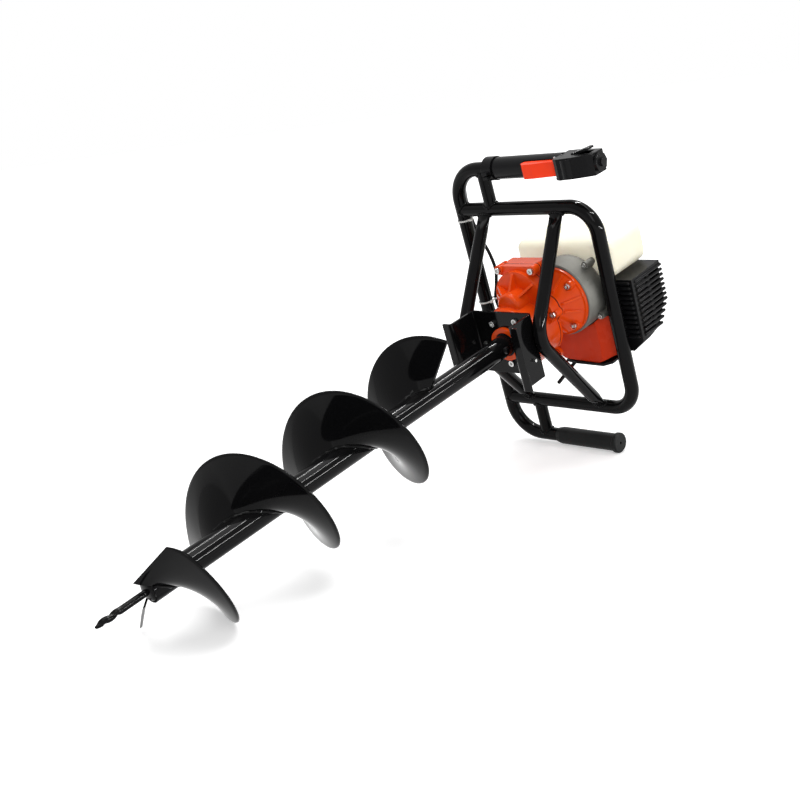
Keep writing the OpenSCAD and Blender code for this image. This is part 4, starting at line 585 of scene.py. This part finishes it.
def moulded(name, rgb, rough, edge_radius, grain_depth=0.00006, grain_scale=900.0, gain=1.25, sub=0.0,
            shine=0.3, painted_glow=0.0):
    """Moulded plastic: a fine spark-eroded grain, broad gloss drift and lighter scuffs at the edges. A painted
    glow of the piece's own colour brightens it evenly whatever the lamps do; it stands in for light that comes
    through a thin wall."""
    made = Finish(name)
    edges = made.group("rounded_edges", radius=edge_radius, break_up=140.0)
    grain = made.group("surface_grain", fine_scale=grain_scale, broad_scale=11.0)
    lines = made.group("fine_scratches", scale=34.0, slant=1.1)
    dust = made.group("settled_dust", amount=0.012)
    base = made.mix(grain["Mottle"], tinted(rgb, 0.9), tinted(rgb, gain))
    base = made.mix(made.times(edges["Edge"], 0.25), base, tinted([c + 0.015 for c in rgb], 1.5))
    base = made.mix(dust["Dust"], base, PLASTIC_DUST)
    drift = made.ramp(grain["Mottle"], 0.0, 1.0, rough * 0.88, min(1.0, rough * 1.15))
    made.set(base_color=base, specular_ior_level=shine,
             roughness=made.plus(drift, made.times(lines["Scratches"], 0.1), clamp=True))
    if sub:
        made.set(subsurface_weight=sub, subsurface_radius=(0.02, 0.018, 0.012), subsurface_scale=0.2)
    # Painted glow: emission of the piece's own colour that brightens it as if lit, though it is no lamp
    if painted_glow:
        made.set(emission_color=tinted(rgb), emission_strength=painted_glow)
    made.bumps(grain["Height"], grain_depth, edges["Normal"])


def cast_metal(name, rgb, rough, depth=0.00022):
    """Bare sand-cast alloy: pitted skin, dull mottle and brighter rubbed edges."""
    made = Finish(name)
    edges = made.group("rounded_edges", radius=0.0012)
    grain = made.group("surface_grain", fine_scale=520.0, broad_scale=16.0, speck_scale=340.0)
    dust = made.group("settled_dust", amount=0.15)
    base = made.mix(grain["Mottle"], tinted(rgb, 0.72), tinted(rgb, 1.2))
    base = made.mix(made.times(grain["Specks"], 0.5), base, tinted(rgb, 0.35))
    base = made.mix(made.times(edges["Edge"], 0.6), base, tinted(rgb, 2.0))
    base = made.mix(dust["Dust"], base, METAL_DUST)
    made.set(base_color=base, metallic=0.7, specular_ior_level=0.5,
             roughness=made.ramp(grain["Mottle"], 0.0, 1.0, rough * 0.85, rough * 1.2))
    made.bumps(made.math("SUBTRACT", grain["Height"], grain["Specks"]), depth, edges["Normal"])


def turned_metal(name, rgb, rough, tarnish):
    """Turned or plated steel: fine tool lines, a drifting gloss and dull tarnish in patches."""
    made = Finish(name)
    edges = made.group("rounded_edges", radius=0.0005)
    grain = made.group("surface_grain", fine_scale=1500.0, broad_scale=60.0)
    lines = made.group("fine_scratches", scale=90.0, stretch=12.0, slant=0.2)
    dull = made.times(grain["Mottle"], tarnish)
    base = made.mix(dull, tinted(rgb), tinted(rgb, 0.55))
    base = made.mix(made.times(edges["Edge"], 0.5), base, tinted(rgb, 1.3))
    drift = made.ramp(grain["Mottle"], 0.0, 1.0, rough, rough * 1.6)
    made.set(base_color=base, metallic=1.0, roughness=made.plus(drift, made.times(lines["Scratches"], 0.15)))
    made.bumps(made.plus(grain["Height"], lines["Scratches"]), 0.00003, edges["Normal"])


# Machine height at which the gear case's two halves meet

CASE_JOINT = 70 * MM


def make_finishes(look):
    """Builds the shared groups and every finish once."""
    for make_group in (edge_group, grain_group, scratch_group, dust_group):
        make_group()
    painted("enamel_black", look.enamel, 0.08, 0.0010, 0.18, 0.11, 0.000004)
    painted("enamel_round", look.enamel, 0.08, None, 0.0, 0.08, 0.0000015)
    painted("casting_orange", look.casting, 0.22, 0.0016, 0.06, 0.18, 0.00006, CASE_JOINT)
    moulded("cover_red", look.cover, 0.26, 0.0016, 0.00003, 700.0, 1.08, shine=0.09)
    cast_metal("casting_grey", look.alloy, 0.66)
    moulded("plastic_black", look.plastic, 0.28, 0.0012, shine=0.09)
    moulded("rubber_black", look.rubber, 0.46, 0.0008, 0.00010, 700.0, shine=0.14)
    turned_metal("steel_plain", look.steel, 0.28, 0.6)
    turned_metal("bolt_zinc", look.zinc, 0.20, 0.35)
    # The tank's painted glow brightens the cream plastic beyond what the lamps give
    moulded("tank_cream", look.tank, 0.42, 0.0020, 0.00005, 500.0, 1.04, 0.25, painted_glow=0.22)
    moulded("trigger_red", look.trigger, 0.24, 0.0012, 0.00002, 900.0, 1.06, shine=0.12)
    moulded("tie_white", look.tie, 0.40, 0.0004, 0.00002, 900.0, 1.05)
    turned_metal("muffler_dark", look.scorched, 0.45, 0.7)
    moulded("plug_white", look.ceramic, 0.15, 0.0006, 0.00001, 400.0, 1.03)
    turned_metal("bolt_dark", look.oxide, 0.25, 0.4)


# Nodes whose finish isn't named by their material slot

NODE_FINISH = {"coupling_bolt": "bolt_dark"}


class AUGER_OT_finishes(Operator):
    """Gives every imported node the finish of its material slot"""

    bl_idname = "auger.finishes"
    bl_label = "Finishes"

    def execute(self, context):
        make_finishes(context.scene.auger_finishes)
        for row in frame["record"]["subparts"]:
            node = row["node"]
            slots = frame["nodes"][node].data.materials
            slots.clear()
            slots.append(FINISH[NODE_FINISH.get(node, row["material_slot"])])
        return {"FINISHED"}


def enamelled(name, points, faces, body, nodes=()):
    """A piece in the enamel for surfaces that are round by themselves."""
    new_piece(name, place(points), faces, FINISH["enamel_round"], body, nodes)


def swept(name, ring, path, upward, body, nodes=()):
    """An enamelled piece: a ring of points carried along a path."""
    enamelled(name, carried(ring, path, upward), ring_faces(len(path), ring.shape[-2]), body, nodes)


# Auger bit


def flight_section(sizes, count=22, rim=6):
    """Section of the flight's plate from root to rim, round the rim and back: radius, face side (-1 to 1),
    share of the way to the rim, and half the plate's thickness along z."""
    inner, half = sizes.tube_radius, sizes.thickness / 2
    along = inner + (sizes.radius - half - inner) * np.linspace(0, 1, count)
    turn = np.linspace(-math.pi / 2, math.pi / 2, rim)[1:-1]
    radius = np.concatenate((along, sizes.radius - half + half * np.cos(turn), along[::-1]))
    side = np.concatenate((-np.ones(count), np.sin(turn), np.ones(count)))
    share = np.clip((radius - inner) / (sizes.radius - inner), 0, 1)
    return radius, side, share, half * np.sqrt(1 + (sizes.pitch / TAU / radius) ** 2)


def flight_rings(sizes, angle):
    """The section at each angle of the helix: z is the lead times the angle, less the dish at the root."""
    radius, side, share, half = flight_section(sizes)
    turn = angle[:, None]
    height = (sizes.tube_low + sizes.rise + (turn - sizes.start) * sizes.pitch / TAU
              - sizes.dish * (1 - share) + side * half)
    return polar(radius, turn, height)


def cutter_rings(sizes, steps=18):
    """The plate carried on from the flight's first section to a straight cutting edge: a quadratic Bezier
    from the edge E to the section F whose middle point lies back along the helix's tangent from F, and
    whose thickness falls with the square of the way to the edge."""
    radius, side, share, half = flight_section(sizes)
    first = flight_rings(sizes, np.array([sizes.start]))[0] - np.outer(side * half, Z_LINE)
    tip = polar(sizes.tube_radius + sizes.cutter_gap, sizes.start - sizes.cutter_sweep,
                sizes.tube_low - sizes.cutter_drop)
    rim = polar(sizes.radius - sizes.cutter_inset, sizes.start - sizes.cutter_lean,
                sizes.tube_low + sizes.rise - sizes.cutter_fall)
    edge = tip + share[:, None] * (rim - tip)
    back = unit(polar(radius, sizes.start - TAU / 4, -sizes.pitch / TAU))
    middle = first + 0.5 * np.linalg.norm(edge - first, axis=1, keepdims=True) * back
    t = np.linspace(1, 0, steps, endpoint=False)[:, None, None]
    rings = t * t * edge + 2 * t * (1 - t) * middle + (1 - t) ** 2 * first
    rings[..., 2] += (side * half) * (1 - 0.8 * t[..., 0] ** 2)
    return rings


class AUGER_OT_flight(Operator):
    """Smooth dished flight that runs on into the leading cutter, and the weld bead along its root"""

    bl_idname = "auger.flight"
    bl_label = "Flight and weld"

    def execute(self, context):
        sizes = context.scene.auger_bit
        total = sizes.turns * TAU
        angle = sizes.start + np.linspace(0, total, int(sizes.turns * 144))
        rings = np.concatenate((cutter_rings(sizes), flight_rings(sizes, angle)))
        enamelled("flight", rings.reshape(-1, 3), ring_faces(*rings.shape[:2]), "bit",
                  ("auger_flight", "leading_cutter"))
        self.weld(sizes, total)
        return {"FINISHED"}

    def weld(self, sizes, total):
        """Rippled bead on both faces of the root: a circle whose radius swells with each weld pool."""
        margin, pool, proud = 0.02, 4.5 * MM, 0.4 * MM
        angle = sizes.start + np.linspace(margin, total - margin, int(sizes.turns * 260))
        pools = angle * sizes.tube_radius / pool * math.pi
        swell = sizes.bead * (1 + 0.16 * np.sin(pools) + 0.08 * np.sin(0.37 * pools))
        lead = sizes.pitch / TAU
        slope = math.hypot(1, lead / sizes.tube_radius)
        root = sizes.tube_low + sizes.rise - sizes.dish + (angle - sizes.start) * lead
        reach = sizes.tube_radius + proud
        for name, side in (("flight_weld_low", -1), ("flight_weld_high", 1)):
            height = root + side * (sizes.thickness / 2 * slope + 0.3 * sizes.bead)
            swept(name, circle(swell, BEAD_SIDES), polar(reach, angle, height), Z_LINE, "bit")


class AUGER_OT_tube(Operator):
    """Smooth bit tube: a rounded wall section turned about the auger's axis"""

    bl_idname = "auger.tube"
    bl_label = "Bit tube"

    def execute(self, context):
        sizes = context.scene.auger_bit
        sides, lip = 128, 0.8 * MM
        wall = np.array([(sizes.tube_radius, lip), (sizes.tube_radius - lip, 0), (sizes.tube_bore + lip, 0),
                         (sizes.tube_bore, lip)])
        section = np.vstack((wall + (0, sizes.tube_low), wall[::-1] * (1, -1) + (0, sizes.tube_top)))
        turn = np.arange(sides)[:, None] * TAU / sides
        points = polar(section[:, 0], turn, section[:, 1]).reshape(-1, 3)
        enamelled("bit_tube", points, closed_faces(sides, len(section)).tolist(), "bit", ("auger_tube",))
        return {"FINISHED"}


class AUGER_OT_pilot(Operator):
    """Pilot drill: a domed plug, a plain rod and a fluted, tapering point wound round the axis"""

    bl_idname = "auger.pilot"
    bl_label = "Pilot drill"

    def execute(self, context):
        sizes = context.scene.auger_bit
        sides, twists, swing, plug_top, plug_low = 40, 2.0, 0.7 * MM, -1 * MM, 4 * MM
        taper_from, taper, nose_from, flute_depth = 0.68, 0.5, 0.92, 0.24
        dome = np.linspace(0, 1, 12, endpoint=False)
        depth = np.concatenate((plug_top + (plug_low - plug_top) * dome,
                                np.linspace(plug_low, sizes.pilot_length, 150)))
        wound = np.clip((depth - sizes.pilot_length + sizes.pilot_point) / sizes.pilot_point, 0, 1)
        eased = smooth_steps(0.0, 0.18, wound)
        turn = -wound * twists * TAU
        shift = swing * eased * (1 - 0.6 * wound)
        path = polar(shift, turn, sizes.tube_low - depth)
        tip = np.sqrt(np.clip(1 - ((wound - nose_from) / (1 - nose_from)).clip(0, 1) ** 2, 0.02, 1))
        rod = sizes.pilot_radius * (1 - taper * smooth_steps(taper_from, 1.0, wound)) * tip
        domed = sizes.pilot_radius + (sizes.plug_radius - sizes.pilot_radius) * np.sqrt(1 - dome ** 2)
        rod[:len(dome)] = domed
        around = np.arange(sides) * TAU / sides
        hollow = (0.5 + 0.5 * np.sin(turn[:, None] - around)) ** 3
        flute = 1.05 - flute_depth * eased[:, None] * hollow
        ring = circle(1.0, sides) * (rod[:, None] * flute)[..., None]
        swept("pilot", ring, path, X_LINE, "bit", ("pilot_drill",))
        return {"FINISHED"}


# Welded handle frame

# Points round a tube, and how much wider a crimped end gets, as a share of how flat it is pressed

PIPE_SIDES = 48
SPREAD = 0.35


def brace_corners(sizes, side, top):
    """The three corner points of a brace: one loop bar, the bend at the bracket, the other loop bar."""
    foot = (side * sizes.brace_foot, -sizes.brace_lead, -sizes.brace_dip)
    return [(side * top, -sizes.loop_side, sizes.height), foot, (side * top, sizes.loop_side, sizes.height)]


class AUGER_OT_frame(Operator):
    """Bent and welded tubes: handle, loop, struts, and braces with crimped upper ends"""

    bl_idname = "auger.frame"
    bl_label = "Handle frame"

    def execute(self, context):
        sizes = context.scene.auger_frame
        z, spine, grip, side = sizes.height, sizes.spine, sizes.grip, sizes.loop_side
        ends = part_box("handle_tube")[1].x - MACHINE_ZERO[0]
        self.tube("handle", bent_path([(sizes.grip_end, -grip, z), (-spine, -grip, z), (-spine, grip, z),
                                       (ends, grip, z)], sizes.handle_bend), sizes.tube, ("handle_tube",))
        reach = sizes.loop_reach
        self.tube("loop", bent_path([(-spine, -side, z), (reach, -side, z), (reach, side, z),
                                     (-spine, side, z)], sizes.loop_bend), sizes.tube, ("loop_tube",))
        at = -sizes.strut_place
        for name, sign, nodes in (("strut_throttle", -1, ("handle_struts",)), ("strut_rubber", 1, ())):
            path = even(np.array([(at, sign * side, z), (at, sign * grip, z)]), 3 * MM)
            self.tube(name, path, sizes.strut, nodes)
        for name, sign, top in (("brace_left", -1, sizes.brace_left), ("brace_right", 1, sizes.brace_right)):
            self.brace(sizes, name, sign, top)
        self.welds(sizes)
        return {"FINISHED"}

    def tube(self, name, path, radius, nodes):
        """A round tube along a path in the handle plane."""
        swept(name + "_pipe", circle(radius, PIPE_SIDES), path, Z_LINE, "machine", nodes)

    def brace(self, sizes, name, side, top):
        """A brace whose round section is pressed flat towards both ends and widened along the bars."""
        spacing, flat_to, round_from = 2 * MM, 18 * MM, 42 * MM
        path = bent_path(brace_corners(sizes, side, top), sizes.brace_bend, spacing)
        run = np.arange(len(path)) * spacing
        from_end = np.minimum(run, run[::-1])
        pressed = sizes.crimp * (1 - smooth_steps(flat_to, round_from, from_end))
        squeeze = np.stack((1 - pressed, 1 + SPREAD * pressed), axis=-1)[:, None]
        swept(name + "_pipe", circle(sizes.brace, PIPE_SIDES) * squeeze, path, X_LINE, "machine", (name,))

    def welds(self, sizes):
        """One rippled bead round every joint of the frame."""
        z, spine, grip, side = sizes.height, sizes.spine, sizes.grip, sizes.loop_side
        at, off = -sizes.strut_place, 40 * MM
        round_tube, round_strut = (sizes.tube,) * 2, (sizes.strut,) * 2
        joints = []
        for s in (-1, 1):
            joints += [((-spine + off, s * side, z), (-1, 0, 0), round_tube, (-spine, 0, z), Y_LINE),
                       ((at, s * (side + off), z), (0, -s, 0), round_strut, (0, s * side, z), X_LINE),
                       ((at, s * (grip - off), z), (0, s, 0), round_strut, (0, s * grip, z), X_LINE)]
            for turn, top in ((-1, sizes.brace_left), (1, sizes.brace_right)):
                first, foot, last = np.array(brace_corners(sizes, turn, top))
                end = first if s < 0 else last
                run = unit(end - foot)
                flat = (sizes.brace * (1 - sizes.crimp), sizes.brace * (1 + SPREAD * sizes.crimp))
                joints.append((end - run * off, run, flat, (0, s * side, z), X_LINE))
        points, faces, count = [], [], 0
        for foot, along, radii, bar_point, bar_line in joints:
            line = seam(np.array(foot), along, radii, np.array(bar_point), bar_line, sizes.tube)
            ring, quads = bead_mesh(line, unit(along), sizes.bead)
            points.append(ring)
            faces.append(quads + count)
            count += len(ring)
        enamelled("frame_welds", np.vstack(points), np.vstack(faces).tolist(), "machine")


# Muffler guard


def round_bars(starts, ends, radius, sides=14, steps=6):
    """Straight bars with ball ends: circles of radius r sin a, set off by r cos a past both end points."""
    line = unit(ends - starts)
    across = np.cross(line, Y_LINE)
    over = np.cross(across, line)
    a = np.linspace(0.05, math.pi / 2, steps)
    r = radius * np.concatenate((np.sin(a), np.sin(a)[::-1]))
    off = radius * np.concatenate((-np.cos(a), np.cos(a)[::-1]))
    middle = np.repeat(np.stack((starts, ends), axis=1), steps, axis=1)
    middle = middle + off[None, :, None] * line[:, None]
    ring = circle(r, sides)
    points = (middle[:, :, None] + ring[None, ..., :1] * across[:, None, None]
              + ring[None, ..., 1:] * over[:, None, None])
    faces = []
    for bar in range(len(starts)):
        faces += ring_faces(2 * steps, sides, True, bar * 2 * steps * sides)
    return points.reshape(-1, 3), faces


class AUGER_OT_guard(Operator):
    """Rounded louvre bars across the front and the side of the muffler's guard"""

    bl_idname = "auger.guard"
    bl_label = "Guard bars"

    def execute(self, context):
        sizes = context.scene.auger_guard
        y = sizes.first + np.arange(sizes.bars) * sizes.pitch
        far = np.interp(y, (sizes.slant_from, sizes.slant_to), (sizes.far, sizes.far - sizes.slant))
        whole = np.ones_like(y)
        near, outer = sizes.near * whole, sizes.face * whole
        inner_gap, outer_gap, side_gap = 8 * MM, 7 * MM, 10 * MM
        inner = outer - sizes.depth + inner_gap
        starts = np.vstack((np.stack((inner, y, near), -1), np.stack((outer, y, near + side_gap), -1)))
        ends = np.vstack((np.stack((outer - outer_gap, y, near), -1), np.stack((outer, y, far), -1)))
        points, faces = round_bars(starts, ends, sizes.bar)
        new_piece("guard_bars", place(points), faces, FINISH["plastic_black"], "machine")
        return {"FINISHED"}


# Throttle cable, from the grip's clamp along the spine to the carburettor

CABLE_ROUTE = np.array([
    (-0.078, -0.252, 0.1544), (-0.100, -0.252, 0.1544), (-0.124, -0.250, 0.1544), (-0.142, -0.240, 0.1544),
    (-0.154, -0.222, 0.1544), (-0.159, -0.200, 0.1544), (-0.159, -0.175, 0.1544), (-0.157, -0.150, 0.155),
    (-0.150, -0.120, 0.157), (-0.141, -0.090, 0.159), (-0.138, -0.060, 0.160), (-0.143, -0.032, 0.157),
    (-0.150, -0.010, 0.156), (-0.148, 0.012, 0.156), (-0.136, 0.032, 0.159), (-0.116, 0.050, 0.165),
    (-0.092, 0.061, 0.172), (-0.070, 0.067, 0.178), (-0.050, 0.068, 0.180), (-0.036, 0.066, 0.180),
])


class AUGER_OT_cable(Operator):
    """Sheathed throttle cable on one smooth curve through its route"""

    bl_idname = "auger.cable"
    bl_label = "Throttle cable"

    def execute(self, context):
        sizes = context.scene.auger_frame
        sides, steps, upward = 16, 10, (0.0, 0.05, 1.0)
        path = curve_through(CABLE_ROUTE, steps)
        points = place(carried(circle(sizes.cable / 2, sides), path, upward))
        piece = new_piece("cable", points, ring_faces(len(path), sides), FINISH["rubber_black"], "machine",
                          ("throttle_cable",))
        return {"FINISHED"}


# Stage

# Places of the thin tube lamps along x and z; they show only as lines in the gloss

TUBE_LAMPS = {"back_tube_lamp": (-0.35, 2.4), "upper_tube_lamp": (1.60, 2.3), "lower_tube_lamp": (2.30, 0.6)}
TUBE_LAMP_SIZE = (1.8, 0.05)
TUBE_LAMP_Y = 1.0


def aimed(name, data, eye, target, roll=0.0):
    """Adds a lamp or camera at eye that looks at target, rolled about its line of sight."""
    made = added(name, data)
    made.location = eye
    made.rotation_mode = "QUATERNION"
    sight = (Vector(target) - Vector(eye)).to_track_quat("-Z", "Y")
    made.rotation_quaternion = sight @ Matrix.Rotation(roll, 3, "Z").to_quaternion()
    return made


def panel_light(name, eye, aim, size, power):
    """A soft rectangular lamp that looks at a point."""
    lamp = bpy.data.lights.new(name, "AREA")
    lamp.shape = "RECTANGLE"
    lamp.size, lamp.size_y = size
    lamp.energy = power
    return aimed(name, lamp, eye, aim)


def seen_directly(graph):
    """One where a camera, glossy or transmitted ray arrives, else zero."""
    rays = graph.node("ShaderNodeLightPath")
    total = graph.math("MAXIMUM", rays.outputs["Is Camera Ray"], rays.outputs["Is Glossy Ray"])
    return graph.math("MAXIMUM", total, rays.outputs["Is Transmission Ray"])


class AUGER_OT_stage(Operator):
    """Camera, soft panels, pale sky and floor"""

    bl_idname = "auger.stage"
    bl_label = "Stage"

    def execute(self, context):
        scene = context.scene
        look = scene.auger_stage
        scene.view_settings.view_transform = "Standard"
        self.camera(scene, look)
        self.sky(scene, look)
        self.floor()
        aim = (0.0, 0.0, 0.2)
        panel_light("overhead_panel", (0.2, 0.3, 3.0), aim, (2.6, 2.6), look.key)
        panel_light("front_panel", (2.2, -1.6, 1.9), aim, (1.2, 1.6), look.fill)
        for name, (x, z) in TUBE_LAMPS.items():
            lamp = panel_light(name, (x, TUBE_LAMP_Y, z), (0.0, TUBE_LAMP_Y, 0.15), TUBE_LAMP_SIZE,
                               look.tubes)
            lamp.visible_diffuse = False
        return {"FINISHED"}

    def camera(self, scene, look):
        """Camera at the photographed angle, rolled about its own line of sight."""
        lens = bpy.data.cameras.new("camera")
        lens.lens = look.lens
        lens.sensor_width = 36.0
        scene.camera = aimed("camera", lens, place(look.camera), place(look.target), look.roll)

    def sky(self, scene, look):
        """White to the eye, a plain even light to the object."""
        world = bpy.data.worlds.new("pale_sky")
        scene.world = world
        world.use_nodes = True
        graph = Graph(world.node_tree)
        shade = graph.node("ShaderNodeBackground")
        out = graph.node("ShaderNodeOutputWorld")
        light = graph.ramp(seen_directly(graph), 0.0, 1.0, look.sky, 1.0)
        graph.feed(shade, Color=(1.0, 1.0, 1.0, 1.0), Strength=light)
        graph.feed(out, Surface=shade.outputs["Background"])

    def floor(self):
        """Pale matt floor that keeps the object's shadow and turns to plain white further off."""
        size = 30.0
        mesh = bpy.data.meshes.new("floor")
        mesh.from_pydata([(-size, -size, 0), (size, -size, 0), (size, size, 0), (-size, size, 0)], [],
                         [(0, 1, 2, 3)])
        made = Finish("pale_floor")
        where = made.where()
        grain = made.noise(where, 3.0)
        shade = made.mix(made.ramp(grain, 0.3, 0.7), (0.90, 0.90, 0.90, 1.0), (0.93, 0.93, 0.93, 1.0))
        white = made.ramp(made.vector("LENGTH", where)["Value"], 0.9, 2.4, 0.42, 1.0)
        made.set(base_color=shade, roughness=0.9, specular_ior_level=0.1, emission_color=(1.0, 1.0, 1.0, 1.0),
                 emission_strength=made.times(seen_directly(made), white))
        mesh.materials.append(made.material)
        piece = added("floor", mesh)


# Add-on registration

GROUP_NAMES = {"auger_bit": BitSizes, "auger_frame": FrameSizes, "auger_guard": GuardSizes,
               "auger_finishes": Finishes, "auger_stage": StageLook}
STEPS = (AUGER_OT_stage, AUGER_OT_finishes, AUGER_OT_cable, AUGER_OT_flight, AUGER_OT_tube, AUGER_OT_pilot,
         AUGER_OT_frame, AUGER_OT_guard)


class AUGER_PT_panel(Panel):
    """Lists the steps that dress the auger"""

    bl_label = "Earth auger"
    bl_idname = "AUGER_PT_panel"
    bl_space_type = "VIEW_3D"
    bl_region_type = "UI"
    bl_category = "Auger"

    def draw(self, context):
        for step in STEPS:
            self.layout.operator(step.bl_idname)
        for name, group in GROUP_NAMES.items():
            box = self.layout.box()
            for key in group.__annotations__:
                box.prop(getattr(context.scene, name), key)


CLASSES = (*GROUP_NAMES.values(), *STEPS, AUGER_PT_panel)


def register():
    for made in CLASSES:
        bpy.utils.register_class(made)
    for name, group in GROUP_NAMES.items():
        setattr(bpy.types.Scene, name, PointerProperty(type=group))


def unregister():
    for name in GROUP_NAMES:
        delattr(bpy.types.Scene, name)
    for made in reversed(CLASSES):
        bpy.utils.unregister_class(made)


def main():
    """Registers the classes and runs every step."""
    register()
    for step in STEPS:
        space, name = step.bl_idname.split(".")
        getattr(getattr(bpy.ops, space), name)()


if __name__ == "__main__":
    main()
